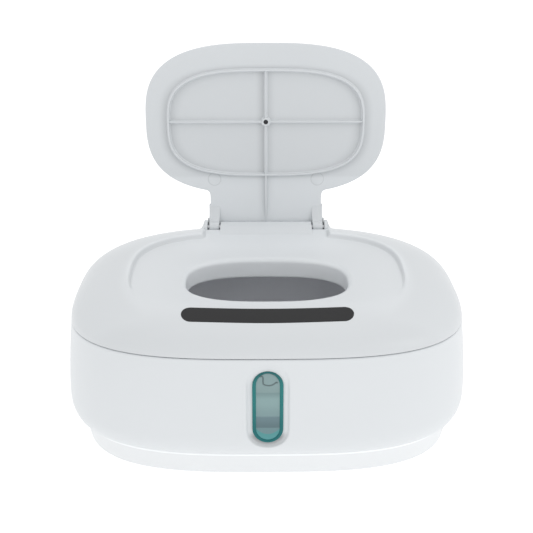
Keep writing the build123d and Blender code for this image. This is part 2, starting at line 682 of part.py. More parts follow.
with BuildPart() as window_sleeve:
    with BuildSketch(window_plane(POCKET_DEPTH + WINDOW_SEAT + WALL)):
        SlotOverall(sleeve_tall, sleeve_x, rotation=90)
        SlotOverall(sleeve_tall - 2 * SLEEVE_WALL, sleeve_x - 2 * SLEEVE_WALL, rotation=90,
                    mode=Mode.SUBTRACT)
    extrude(amount=-(BELLY_Y - TUB_Y) / 2)
    add(tub_outer, mode=Mode.SUBTRACT)
save(window_sleeve.part, "window_sleeve")

# ---------------------------------------------------------------- top cover
dome = stack(dome_sections(0))
with BuildPart() as cover_cavity:
    add(stack(dome_sections(WALL)))
    split(bisect_by=from_hinge(CLOSED, LID_CENTRE, FLOOR_ABOVE_AXIS - WALL), keep=Keep.BOTTOM)

throat_x = THROAT_X / 2
throat_y = THROAT_Y / 2
with BuildPart() as cover_pads:
    with BuildSketch(Plane.XY.offset(HINGE_Z - BED_DEPTH)):
        with Locations((0, HINGE_Y)):
            Rectangle(2 * (EAR_OUTER + WALL), 2 * (KNUCKLE_R + KNUCKLE_CLEAR + WALL))
    extrude(amount=2 * BED_DEPTH)
    with BuildSketch(Plane.XY.offset(THROAT_BOTTOM_Z + LINER_THICK)):
        with GridLocations(LINER_POST_X, LINER_POST_Y, 2, 2):
            Circle(LINER_POST_R)
    extrude(amount=DOME_RISE)
    with BuildSketch(tilted_plane(THROAT_CENTRE_Y, THROAT_BOTTOM_Z, 0)):
        add(outline(throat_x + COLLAR_WALL, throat_y + COLLAR_WALL, THROAT_POWER))
    extrude(amount=DOME_RISE)
    add(dome, mode=Mode.INTERSECT)

recess_x = LID_X / 2 + RECESS_MARGIN
recess_y = LID_Y / 2 + RECESS_MARGIN
recess_grow = RECESS_TALL * RECESS_DRAFT
recess = stack([
    (from_hinge(CLOSED, LID_CENTRE, FLOOR_ABOVE_AXIS), recess_x, recess_y, LID_POWER),
    (from_hinge(CLOSED, LID_CENTRE, FLOOR_ABOVE_AXIS + RECESS_TALL),
     recess_x + recess_grow, recess_y + recess_grow, LID_POWER)])


def throat_section(depth, grow):
    """Section of the opening at a depth below the recess floor, widened by grow."""
    ahead = (HINGE_Y - THROAT_CENTRE_Y) / cos(radians(CLOSED))
    plane = from_hinge(CLOSED, ahead, FLOOR_ABOVE_AXIS - depth)
    return (plane, throat_x + grow, throat_y + grow, THROAT_POWER)


edge_turns = [radians(90 * step / 4) for step in range(5)]
throat_edge = stack([throat_section(THROAT_ROUND * (1 - cos(turn)), THROAT_ROUND * (1 - sin(turn)))
                     for turn in edge_turns])
throat = stack([throat_section(THROAT_ROUND, 0),
                (tilted_plane(THROAT_CENTRE_Y, THROAT_BOTTOM_Z - 1, 0),
                 throat_x - THROAT_DRAFT, throat_y - THROAT_DRAFT, THROAT_POWER)])

strip_reach = (STRIP_X - STRIP_WIDTH) / 2
with BuildLine() as strip_line:
    ThreePointArc((-strip_reach, STRIP_BOW), (0, 0), (strip_reach, STRIP_BOW))

with BuildPart() as strip_pocket:
    with BuildSketch(tilted_plane(STRIP_Y, STRIP_Z, STRIP_SLOPE)):
        SlotArc(strip_line.edge(), STRIP_WIDTH + 2 * STRIP_CLEAR)
    extrude(amount=STRIP_WIDTH, both=True)
    add(stack(dome_sections(STRIP_DEPTH)), mode=Mode.SUBTRACT)

lip_top = SEAM_Z + SEAM_GAP
lip_inset = WALL + LIP_CLEAR
join_inset = WALL - LIP_LAP
ramp_far = Vector(RAMP_START, FLOOR_ABOVE_AXIS)
ramp_turn = Vector(1, 0).get_angle(ramp_far) + degrees(acos(BARREL_R / ramp_far.length))
ramp_touch = (BARREL_R * cos(radians(ramp_turn)), BARREL_R * sin(radians(ramp_turn)))

with BuildPart() as top_cover:
    add(dome)
    add(cover_cavity.part, mode=Mode.SUBTRACT)
    add(stack(housing_sections(lip_inset, SEAM_Z - LIP_DEPTH, lip_top, 2)))
    add(stack(housing_sections(join_inset, lip_top, lip_top + LIP_JOIN, 2)))
    add(stack(housing_sections(lip_inset + LIP_WALL, SEAM_Z - LIP_DEPTH, lip_top + LIP_JOIN, 3)),
        mode=Mode.SUBTRACT)
    add(cover_pads.part)
    add(recess, mode=Mode.SUBTRACT)
    add(throat_edge, mode=Mode.SUBTRACT)
    add(throat, mode=Mode.SUBTRACT)
    add(strip_pocket.part, mode=Mode.SUBTRACT)
    with BuildSketch(from_hinge(CLOSED, NOTCH_AHEAD / 2, FLOOR_ABOVE_AXIS)):
        Rectangle(NOTCH_X, NOTCH_AHEAD + 2 * EAR_R)
    extrude(amount=RECESS_TALL, mode=Mode.SUBTRACT)
    for ear_x in (EAR_OUTER, -EAR_INNER):
        with BuildSketch(hinge_side(CLOSED, ear_x)):
            Circle(EAR_R)
        extrude(amount=EAR_WIDTH)
    for pocket_x in (EAR_INNER, -BARREL_X / 2):
        with BuildSketch(hinge_side(CLOSED, pocket_x)):
            Circle(KNUCKLE_R + KNUCKLE_CLEAR)
        extrude(amount=EAR_INNER - BARREL_X / 2, mode=Mode.SUBTRACT)
    with BuildSketch(hinge_side(CLOSED, BARREL_X / 2)):
        Circle(BARREL_R)
        with BuildLine():
            Polyline((0, -BARREL_R), (0, 0), ramp_touch, (RAMP_START, FLOOR_ABOVE_AXIS),
                     (RAMP_START, FLOOR_ABOVE_AXIS - WALL / 2), (BARREL_R, -BARREL_R), close=True)
        make_face()
    extrude(amount=BARREL_X)
    for hole_x in (EAR_OUTER, -BARREL_X / 2 + PIN_GRIP):
        with BuildSketch(hinge_side(CLOSED, hole_x)):
            Circle(PIN_R + PIN_FIT)
        extrude(amount=EAR_OUTER - BARREL_X / 2 + PIN_GRIP, mode=Mode.SUBTRACT)
    with BuildSketch(Plane.XY.offset(THROAT_BOTTOM_Z + LINER_THICK)):
        with GridLocations(LINER_POST_X, LINER_POST_Y, 2, 2):
            Circle(LINER_SCREW_R + SCREW_HOLE)
    extrude(amount=LINER_SCREW_BITE + SCREW_SPARE / 2, mode=Mode.SUBTRACT)
save(top_cover.part, "top_cover")

with BuildPart() as grip_strip:
    with BuildSketch(tilted_plane(STRIP_Y, STRIP_Z, STRIP_SLOPE)):
        SlotArc(strip_line.edge(), STRIP_WIDTH)
    extrude(amount=STRIP_WIDTH, both=True)
    add(stack(dome_sections(-STRIP_PROUD)), mode=Mode.INTERSECT)
    add(stack(dome_sections(STRIP_DEPTH)), mode=Mode.SUBTRACT)
save(grip_strip.part, "grip_strip")

with BuildPart() as hinge_pins:
    for pin_x in (EAR_OUTER, -BARREL_X / 2 + PIN_GRIP):
        with BuildSketch(hinge_side(CLOSED, pin_x)):
            Circle(PIN_R)
        extrude(amount=EAR_OUTER - BARREL_X / 2 + PIN_GRIP)
save(hinge_pins.part, "hinge_pins")

liner_lean = SEAM_Y / 2 * sin(radians(TOP_TILT))
liner_share = (THROAT_BOTTOM_Z - SEAM_Z - SEAM_GAP + LINER_THICK + liner_lean) / (DOME_RISE - WALL)
liner_in = SHOULDER * (1 - cos(asin(liner_share))) + WALL + LINER_MARGIN
liner_power = HOUSING_POWER + (DOME_POWER - HOUSING_POWER) * liner_share
with BuildPart() as cover_liner:
    with BuildSketch(Plane.XY.offset(THROAT_BOTTOM_Z)):
        add(outline(SEAM_X / 2 - liner_in, SEAM_Y / 2 - liner_in, liner_power))
        with GridLocations(LINER_POST_X, LINER_POST_Y, 2, 2):
            Circle(LINER_SCREW_R + PART_CLEAR, mode=Mode.SUBTRACT)
    extrude(amount=LINER_THICK)
    with BuildSketch(tilted_plane(THROAT_CENTRE_Y, THROAT_BOTTOM_Z, 0)):
        add(outline(throat_x + COLLAR_WALL + PART_CLEAR, throat_y + COLLAR_WALL + PART_CLEAR, THROAT_POWER))
    extrude(amount=LINER_THICK, mode=Mode.SUBTRACT)
save(cover_liner.part, "cover_liner")

with BuildPart() as liner_screws:
    with BuildSketch(Plane.XY.offset(THROAT_BOTTOM_Z - LINER_HEAD_TALL)):
        with GridLocations(LINER_POST_X, LINER_POST_Y, 2, 2):
            Circle(2 * LINER_SCREW_R)
    extrude(amount=LINER_HEAD_TALL)
    with BuildSketch(Plane.XY.offset(THROAT_BOTTOM_Z - LINER_HEAD_TALL / 2)):
        with GridLocations(LINER_POST_X, LINER_POST_Y, 2, 2):
            Circle(LINER_SCREW_R)
    extrude(amount=LINER_HEAD_TALL / 2 + LINER_THICK + LINER_SCREW_BITE)
save(liner_screws.part, "liner_screws")

# ---------------------------------------------------------------- lid, standing open on its stop
neck_ahead = LID_CENTRE - LID_Y / 4
neck_length = neck_ahead - NECK_END
neck_shift = LID_CENTRE - (NECK_END + neck_length / 2)
plug_shift = LID_CENTRE - PLUG_FROM_AXIS
with BuildPart() as lid_frame:
    with BuildSketch(from_hinge(OPEN, LID_CENTRE, LID_FACE)):
        add(outline(LID_X / 2, LID_Y / 2, LID_POWER))
        with Locations((0, neck_shift)):
            Rectangle(NECK_X, neck_length)
    extrude(amount=LID_PLATE)
    with BuildSketch(from_hinge(OPEN, RING_CENTRE, LID_FACE)):
        add(outline(RING_X / 2, RING_Y / 2, RING_POWER))
        add(outline(RING_X / 2 - RING_WALL, RING_Y / 2 - RING_WALL, RING_POWER), mode=Mode.SUBTRACT)
        with Locations((0, RING_CENTRE - BOSS_CENTRE)):
            Circle(BOSS_R)
    extrude(amount=-RING_TALL)
    with BuildSketch(from_hinge(OPEN, BOSS_CENTRE, LID_FACE)):
        Rectangle(RING_X - RING_WALL, RING_WALL)
        with Locations((0, BOSS_CENTRE - RING_CENTRE)):
            Rectangle(RING_WALL, RING_Y - RING_WALL)
    extrude(amount=-(RING_TALL - RIB_STEP))
    with BuildSketch(hinge_side(OPEN, RING_WALL / 2)):
        with BuildLine():
            Polyline((RING_CENTRE - RING_Y / 2 + RING_WALL / 2, LID_FACE + LID_PLATE / 2),
                     (RING_CENTRE - RING_Y / 2 + RING_WALL / 2, RING_CREST + RIB_STEP),
                     (RAMP_START + RIB_CLEAR, RING_CREST + RIB_STEP),
                     (NECK_END, LID_FACE + LID_PLATE / 2), close=True)
        make_face()
    extrude(amount=RING_WALL)
    for arm_x in (ARM_OUTER, -ARM_INNER):
        with BuildSketch(hinge_side(OPEN, arm_x)):
            Circle(KNUCKLE_R)
            with BuildLine():
                Polyline((0, 0), (KNUCKLE_R, 0), (KNUCKLE_R, ARM_FACE), (ARM_FLAT, ARM_FACE),
                         (ARM_BLEND, LID_FACE), (ARM_BLEND, LID_PARTING), (0, LID_PARTING),
                         (-KNUCKLE_R * sin(pi / 4), KNUCKLE_R * cos(pi / 4)), close=True)
            make_face()
        extrude(amount=ARM_WIDTH)
        with BuildSketch(hinge_side(OPEN, arm_x)):
            Circle(PIN_R + PIN_RUN)
        extrude(amount=ARM_WIDTH, mode=Mode.SUBTRACT)
    with BuildSketch(from_hinge(OPEN, BOSS_CENTRE, RING_CREST)):
        Circle(BOSS_HOLE_R)
    extrude(amount=RING_TALL - SCREW_UNDER, mode=Mode.SUBTRACT)
    with BuildSketch(from_hinge(OPEN, BOSS_CENTRE, RING_CREST)):
        Circle(LID_SCREW_R + PART_CLEAR / 2)
    extrude(amount=RING_TALL + LID_PLATE, mode=Mode.SUBTRACT)
    with BuildSketch(from_hinge(OPEN, LID_CENTRE, LID_FACE)):
        with Locations((-PLUG_X / 2, plug_shift), (PLUG_X / 2, plug_shift)):
            Circle(PLUG_R + PLUG_CLEAR)
    extrude(amount=PLUG_HEAD, mode=Mode.SUBTRACT)
    with BuildSketch(from_hinge(OPEN, LID_CENTRE, LID_FACE)):
        with Locations((-PLUG_X / 2, plug_shift), (PLUG_X / 2, plug_shift)):
            Circle(SCREW_R + SCREW_HOLE)
    extrude(amount=LID_PLATE, mode=Mode.SUBTRACT)
save(lid_frame.part, "lid_frame")


def crown_sections(inset, low):
    """Sections of the lid's crowned outer moulding, moved inwards by inset, from a height over the axis."""
    sections = []
    for step in range(5):
        turn = radians(80 * step / 4)
        drawn_in = LID_CROWN_WIDTH * (1 - cos(turn)) + inset
        above = low + (LID_CROWN - inset) * sin(turn)
        plane = from_hinge(OPEN, LID_CENTRE, above)
        sections.append((plane, LID_X / 2 - drawn_in, LID_Y / 2 - drawn_in, LID_POWER))
    return sections


with BuildPart() as lid_skin:
    with BuildSketch(from_hinge(OPEN, LID_CENTRE, LID_PARTING)):
        add(outline(LID_X / 2, LID_Y / 2, LID_POWER))
        with Locations((0, neck_shift)):
            Rectangle(NECK_X, neck_length)
    extrude(amount=LID_EDGE)
    add(stack(crown_sections(0, LID_PARTING + LID_EDGE)))
    add(stack(crown_sections(LID_SKIN, LID_PARTING)), mode=Mode.SUBTRACT)
    with BuildSketch(from_hinge(OPEN, LID_CENTRE, LID_PARTING)):
        with Locations((-PLUG_X / 2, plug_shift), (PLUG_X / 2, plug_shift), (0, LID_CENTRE - BOSS_CENTRE)):
            Circle(BOSS_R)
    extrude(amount=LID_EDGE)
    with BuildSketch(from_hinge(OPEN, LID_CENTRE, LID_PARTING)):
        with Locations((-PLUG_X / 2, plug_shift), (PLUG_X / 2, plug_shift)):
            Circle(SCREW_R + SCREW_HOLE)
        with Locations((0, LID_CENTRE - BOSS_CENTRE)):
            Circle(LID_SCREW_R + SCREW_HOLE)
    extrude(amount=LID_SCREW_BITE + PLUG_CLEAR, mode=Mode.SUBTRACT)
save(lid_skin.part, "lid_skin")

with BuildPart() as lid_plugs:
    with BuildSketch(from_hinge(OPEN, LID_CENTRE, LID_FACE - PLUG_PROUD)):
        with Locations((-PLUG_X / 2, plug_shift), (PLUG_X / 2, plug_shift)):
            Circle(PLUG_R)
    extrude(amount=PLUG_HEAD + PLUG_PROUD)
    with BuildSketch(from_hinge(OPEN, LID_CENTRE, LID_FACE)):
        with Locations((-PLUG_X / 2, plug_shift), (PLUG_X / 2, plug_shift)):
            Circle(SCREW_R)
    extrude(amount=LID_PLATE + LID_SCREW_BITE)
save(lid_plugs.part, "lid_plugs")

with BuildPart() as lid_screw:
    with BuildSketch(from_hinge(OPEN, BOSS_CENTRE, LID_FACE - SCREW_UNDER - LID_HEAD_TALL)):
        Circle(BOSS_HOLE_R - PART_CLEAR / 2)
    extrude(amount=LID_HEAD_TALL)
    with BuildSketch(from_hinge(OPEN, BOSS_CENTRE, LID_FACE - SCREW_UNDER - LID_HEAD_TALL / 2)):
        Circle(LID_SCREW_R)
    extrude(amount=LID_HEAD_TALL / 2 + SCREW_UNDER + LID_PLATE + LID_SCREW_BITE)
save(lid_screw.part, "lid_screw")
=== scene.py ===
# %% [markdown]
# # A baby wipe warmer, dressed around its frame
# The warmer is three bodies: a base that holds the tub and the heater, a cover that lifts off, and a lid
# that swings on two short pins. The frame already holds every piece at its real size. This lesson gives
# each piece that the eye meets a smooth surface worked out from a formula, and a finish made from nodes.

# %% Load the frame
import json
from math import cos, radians, sin, tan

import bpy
import numpy as np
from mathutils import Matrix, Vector


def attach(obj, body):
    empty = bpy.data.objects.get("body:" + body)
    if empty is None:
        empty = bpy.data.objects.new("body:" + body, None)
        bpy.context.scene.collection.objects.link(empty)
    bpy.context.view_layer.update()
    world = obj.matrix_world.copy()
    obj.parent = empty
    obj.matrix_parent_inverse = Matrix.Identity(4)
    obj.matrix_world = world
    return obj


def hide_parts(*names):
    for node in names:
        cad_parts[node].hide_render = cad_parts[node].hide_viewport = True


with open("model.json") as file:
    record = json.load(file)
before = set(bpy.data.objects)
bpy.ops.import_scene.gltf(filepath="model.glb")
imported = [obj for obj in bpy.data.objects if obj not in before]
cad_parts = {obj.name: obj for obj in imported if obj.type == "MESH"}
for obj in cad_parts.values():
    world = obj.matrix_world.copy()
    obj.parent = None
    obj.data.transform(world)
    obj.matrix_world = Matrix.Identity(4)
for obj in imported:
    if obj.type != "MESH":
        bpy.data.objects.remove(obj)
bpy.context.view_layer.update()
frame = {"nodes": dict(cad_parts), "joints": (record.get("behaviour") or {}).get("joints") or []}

# %% [markdown]
# ## Units and sizes
# All shapes below are worked out in millimetres, because the moulded sizes are easy to read that way, and
# are turned into metres at the last moment. The sizes are those of the real mouldings: outlines, heights,
# wall thicknesses. What can be read from the frame, such as the hinge axis, is read from it.

# %% Sizes of the mouldings, in millimetres
MM = 0.001
SEAM_Z = 85.9           # top edge of the housing
SEAM_GAP = 0.5          # shadow gap under the cover
PAN_TOP_Z = 19.7        # where the housing meets the pan
BELLY_Z = 35.6          # widest outline of the housing
BELLY_HALF = 128.0      # half of its width
SIDE_TO_FRONT = 38.9    # half width less half depth, the same all the way up
BELLY_TUCK = 7.9        # inward curve below the belly
TUCK_ARC = radians(80)  # part of a circle that the curve takes
SEAM_TAPER = 4.6        # inward lean above the belly
SEAM_CURVE = 1.5        # power of the lean's growth with height
HOUSING_POWER = 3.1     # power of the housing's superellipse
WALL = 2.4
DOME_RISE = 26.3        # height of the shoulder over the seam, before the recess cuts it off
SHOULDER = 54.0         # how far the shoulder is drawn in at its top
SHOULDER_RATIO = 0.95   # the same from front to back, as a share
DOME_POWER = 2.44       # power of the superellipse at the shoulder's top
TOP_TILT = 2.0          # degrees by which the top falls towards the front
FLOOR_ABOVE_AXIS = 1.2  # recess floor above the hinge axis
hinge = next(joint for joint in frame["joints"] if joint["name"] == "lid_hinge")
HINGE_Y = hinge["pos_m"][1] / MM
HINGE_Z = hinge["pos_m"][2] / MM
print("hinge axis at", round(HINGE_Y, 1), round(HINGE_Z, 1))

# %% [markdown]
# ## From formula to mesh
# Every surface is a grid of points: rows run along a profile, columns run round an outline. One function
# turns such a grid into a mesh, closes it where it should be closed and makes its faces point outwards.

# %% Grid to mesh
def outward(points, faces):
    """Signed volume of the faces: the sum over triangles of a . (b x c) / 6. It is negative inside out."""
    a, b, c = (points[faces[:, i]] for i in (0, 1, 2))
    volume = np.einsum("ij,ij->i", a, np.cross(b, c)).sum()
    if faces.shape[1] == 4:
        d = points[faces[:, 3]]
        volume += np.einsum("ij,ij->i", a, np.cross(c, d)).sum()
    return volume / 6


def grid_faces(rows, columns, close_rows):
    """Quads between neighbouring rows and columns. Columns are joined end to start, and rows where asked."""
    index = np.arange(rows * columns).reshape(rows, columns)
    index = np.concatenate([index, index[:, :1]], axis=1)
    if close_rows:
        index = np.concatenate([index, index[:1]], axis=0)
    corners = (index[:-1, :-1], index[:-1, 1:], index[1:, 1:], index[1:, :-1])
    return np.stack(corners, axis=-1).reshape(-1, 4)


print("an open grid of 3 rows and 4 columns has", len(grid_faces(3, 4, False)), "faces")

# %% One surface, closed and turned outwards
def surface(name, grid, close_rows=False, poles=(None, None), caps=False):
    """Mesh object from a grid of points in millimetres, shaped (rows, columns, 3).
    A pole closes the first or the last row with a fan of triangles to one point. Caps close both with one
    flat face each."""
    grid = np.asarray(grid, float)
    rows, columns = grid.shape[:2]
    points = grid.reshape(-1, 3)
    quads = grid_faces(rows, columns, close_rows)
    fans = []
    ring = np.arange(columns)
    following = np.roll(ring, -1)
    for pole, row in ((poles[0], 0), (poles[1], rows - 1)):
        if pole is not None:
            centre = np.full(columns, len(points))
            points = np.vstack([points, pole])
            fan = np.stack([row * columns + ring, row * columns + following, centre], axis=-1)
            fans.append(fan[:, ::-1] if row == 0 else fan)
    closing = sum(outward(points, fan) for fan in fans)
    lids = [ring[::-1], (rows - 1) * columns + ring] if caps else []
    for lid in lids:
        corners = [np.full(columns - 2, lid[0]), lid[1:-1], lid[2:]]
        closing += outward(points, np.stack(corners, axis=-1))
    if outward(points, quads) + closing < 0:
        quads = quads[:, ::-1]
        fans = [fan[:, ::-1] for fan in fans]
        lids = [lid[::-1] for lid in lids]
    faces = quads.tolist() + [face for fan in fans for face in fan.tolist()]
    faces += [lid.tolist() for lid in lids]
    mesh = bpy.data.meshes.new(name)
    mesh.from_pydata((points * MM).tolist(), [], faces)
    mesh.polygons.foreach_set("use_smooth", np.ones(len(mesh.polygons), bool))
    mesh.update()
    made = bpy.data.objects.new(name, mesh)
    bpy.context.scene.collection.objects.link(made)
    print(name, len(mesh.polygons), "faces")
    return made


def join(name, *parts):
    """One object from several, with their meshes side by side and the first one's finish."""
    with bpy.context.temp_override(active_object=parts[0], selected_editable_objects=list(parts)):
        bpy.ops.object.join()
    parts[0].name = name
    parts[0].data.name = name
    return parts[0]

# %% [markdown]
# ## Outlines
# The mouldings are neither rectangles nor ellipses but superellipses, |x/a|^p + |y/b|^p = 1. With p = 2 it
# is an ellipse, and the corners fill out as p grows. Two small helpers come with it: a smooth step from 0
# to 1, and a smooth minimum, which joins two heights with a soft edge as a moulding tool's radius does.

# %% Outline and blend helpers
def superellipse(half_x, half_y, power, turns):
    """Points at polar angles: reach = (|cos|^p + |sin|^p)^(-1/p), x = a reach cos, y = b reach sin."""
    c, s = np.cos(turns), np.sin(turns)
    reach = (np.abs(c) ** power + np.abs(s) ** power) ** (-1 / power)
    return half_x * reach * c, half_y * reach * s


def radius_share(x, y, half_x, half_y, power):
    """r = (|x/a|^p + |y/b|^p)^(1/p), which is 1 on the superellipse."""
    return (np.abs(x / half_x) ** power + np.abs(y / half_y) ** power) ** (1 / power)


corner = superellipse(BELLY_HALF, BELLY_HALF - SIDE_TO_FRONT, HOUSING_POWER, np.pi / 4)
print("corner of the widest outline at", np.round(corner, 1))

# %% Distances beyond an outline
def outside(x, y, half_x, half_y, power):
    """Distance beyond a superellipse, (r - 1) / |gradient of r|."""
    u, v = np.abs(x) / half_x + 1e-9, np.abs(y) / half_y + 1e-9
    r = (u ** power + v ** power) ** (1 / power)
    slope_x = r ** (1 - power) * u ** (power - 1) / half_x
    slope_y = r ** (1 - power) * v ** (power - 1) / half_y
    return (r - 1) / np.hypot(slope_x, slope_y)


def outside_box(x, y, half_x, half_y):
    """Distance beyond a rectangle, negative inside it."""
    dx, dy = np.abs(x) - half_x, np.abs(y) - half_y
    return np.hypot(np.maximum(dx, 0), np.maximum(dy, 0)) + np.minimum(np.maximum(dx, dy), 0)


def outside_slot(x, y, half_length, half_width):
    """Distance beyond a slot with round ends that runs along x."""
    return np.hypot(np.maximum(np.abs(x) - (half_length - half_width), 0), y) - half_width


print("a place 3 mm and 4 mm beyond a box is", outside_box(13.0, 9.0, 10.0, 5.0), "mm from it")

# %% Soft steps and soft joints
def ease(value, start, end):
    """0 before start, 1 after end, and 3t^2 - 2t^3 between them."""
    t = np.clip((value - start) / (end - start), 0, 1)
    return t * t * (3 - 2 * t)


def soft_min(a, b, radius):
    """The lower of two heights, with the corner filled over a width of radius."""
    gap = np.maximum(radius - np.abs(a - b), 0) / radius
    return np.minimum(a, b) - gap * gap * radius / 4


def soft_max(a, b, radius):
    """The higher of two heights, with the corner filled over a width of radius."""
    return -soft_min(-a, -b, radius)


def round_over(radius, steps):
    """Steps of a quarter round: (inset, height) = radius (1 - sin t, 1 - cos t)."""
    t = np.linspace(0, np.pi / 2, steps)
    return np.stack([radius * (1 - np.sin(t)), radius * (1 - np.cos(t))], axis=-1)


print("where two heights of 1 meet over a width of 1 the soft minimum is", soft_min(1.0, 1.0, 1.0))

# %% Columns that crowd together
def denser_columns(count, spots, share, spread):
    """Polar angles round an outline that crowd together near each spot, so that a small detail there is
    crisp. They are where the sum of a constant and of bell curves about the spots has risen by equal
    steps."""
    fine = np.linspace(0, 2 * np.pi, 20001)
    density = np.ones_like(fine)
    for spot in spots:
        away = np.angle(np.exp(1j * (fine - spot)))
        density += 2 * share / (1 - share) * np.exp(-(away / spread) ** 2) / (spread * len(spots))
    total = np.concatenate([[0], np.cumsum((density[1:] + density[:-1]) / 2)])
    steps = np.linspace(0, total[-1], count, endpoint=False)
    return np.interp(steps, total, fine)

# %% [markdown]
# ## The stage
# A light table, a white surround and two soft lamps. The warmer is white on white, so its shape is told
# only by gentle shading: an even light from all round, more of it from the glowing table below, and a
# little from above and from the right. The camera looks down from the front, a touch to the left.

# %% Floor and surround
FLOOR_HALF = 3000.0
TABLE_WHITE = 0.40      # share of the room's light that the table gives back
TABLE_GLOW = 0.78       # light of its own
SURROUND = 0.90
floor_mesh = bpy.data.meshes.new("floor")
floor_corners = np.array([(-1, -1, 0), (1, -1, 0), (1, 1, 0), (-1, 1, 0)]) * FLOOR_HALF * MM
floor_mesh.from_pydata(floor_corners.tolist(), [], [(0, 1, 2, 3)])
floor = bpy.data.objects.new("floor", floor_mesh)
bpy.context.scene.collection.objects.link(floor)


def socket(node, name):
    """A node's input from its name in small letters: base_color is the Base Color socket, and so on."""
    return node.inputs[name.replace("_", " ").title().replace("Ior", "IOR")]


def preset(node, **values):
    """Sets constants on a node's inputs."""
    for name, value in values.items():
        socket(node, name).default_value = value


table = bpy.data.materials.new("light_table")
table.use_nodes = True
preset(table.node_tree.nodes["Principled BSDF"], base_color=(TABLE_WHITE, TABLE_WHITE, TABLE_WHITE, 1.0),
       roughness=0.9, emission_color=(1.0, 1.0, 1.0, 1.0), emission_strength=TABLE_GLOW)
floor_mesh.materials.append(table)

world = bpy.data.worlds.new("surround")
world.use_nodes = True
preset(world.node_tree.nodes["Background"], color=(1.0, 1.0, 1.0, 1.0), strength=SURROUND)
bpy.context.scene.world = world
bpy.context.scene.view_settings.view_transform = "Standard"
print("stage:", floor.name, table.name, world.name)

# %% Lamps
def lamp(name, place, aim, width, height, watts):
    """Rectangular soft lamp, in millimetres, turned to face a point."""
    data = bpy.data.lights.new(name, "AREA")
    data.shape = "RECTANGLE"
    data.size = width * MM
    data.size_y = height * MM
    data.energy = watts
    light = bpy.data.objects.new(name, data)
    light.location = Vector(place) * MM
    light.rotation_euler = (Vector(aim) - Vector(place)).to_track_quat("-Z", "Y").to_euler()
    bpy.context.scene.collection.objects.link(light)


lamp("top_lamp", place=(0, 0, 900), aim=(0, 0, 90), width=900, height=500, watts=0.9)
lamp("side_lamp", place=(700, -520, 480), aim=(0, 0, 120), width=300, height=300, watts=0.6)
print("lamps", [light.name for light in bpy.data.lights])

# %% Camera
CAMERA_PLACE = (-4.1, -506.2, 331.1)
CAMERA_PITCH = 66.07    # degrees up from straight down
CAMERA_TURN = -0.455    # degrees about the upright
CAMERA_LENS = 57.9
CAMERA_WIDE = 36.0      # width of the frame that the lens is for
camera_data = bpy.data.cameras.new("camera")
camera_data.lens = CAMERA_LENS
camera_data.sensor_width = CAMERA_WIDE
camera = bpy.data.objects.new("camera", camera_data)
camera.location = Vector(CAMERA_PLACE) * MM
camera.rotation_euler = (radians(CAMERA_PITCH), 0, radians(CAMERA_TURN))
bpy.context.scene.collection.objects.link(camera)
bpy.context.scene.camera = camera
print("lens", round(camera_data.lens, 1))

# %% [markdown]
# ## Writing finishes as sums
# A finish is a small network of nodes. Wiring it by hand is slow to read, so one class wraps a socket and
# lets it be added and multiplied as a number is, and another adds any node by its type.

# %% Sockets that add and multiply
def arithmetic(operation, swapped=False):
    """Method of Value that adds one Math node to its network. Swapped, the other number comes first."""
    def method(self, other):
        first, second = (other, self) if swapped else (self, other)
        return self.finish.node("ShaderNodeMath", {"operation": operation}, {0: first, 1: second})
    return method


class Value:
    """One socket's output. Arithmetic on it adds Math nodes, and 1 - mask works as mask - 1 does."""

    __add__, __radd__ = arithmetic("ADD"), arithmetic("ADD", swapped=True)
    __sub__, __rsub__ = arithmetic("SUBTRACT"), arithmetic("SUBTRACT", swapped=True)
    __mul__, __rmul__ = arithmetic("MULTIPLY"), arithmetic("MULTIPLY", swapped=True)
    __truediv__, __rtruediv__ = arithmetic("DIVIDE"), arithmetic("DIVIDE", swapped=True)
    __pow__, __rpow__ = arithmetic("POWER"), arithmetic("POWER", swapped=True)

    def __init__(self, finish, socket):
        self.finish = finish
        self.socket = socket

    def __abs__(self):
        return self.finish.node("ShaderNodeMath", {"operation": "ABSOLUTE"}, {0: self})

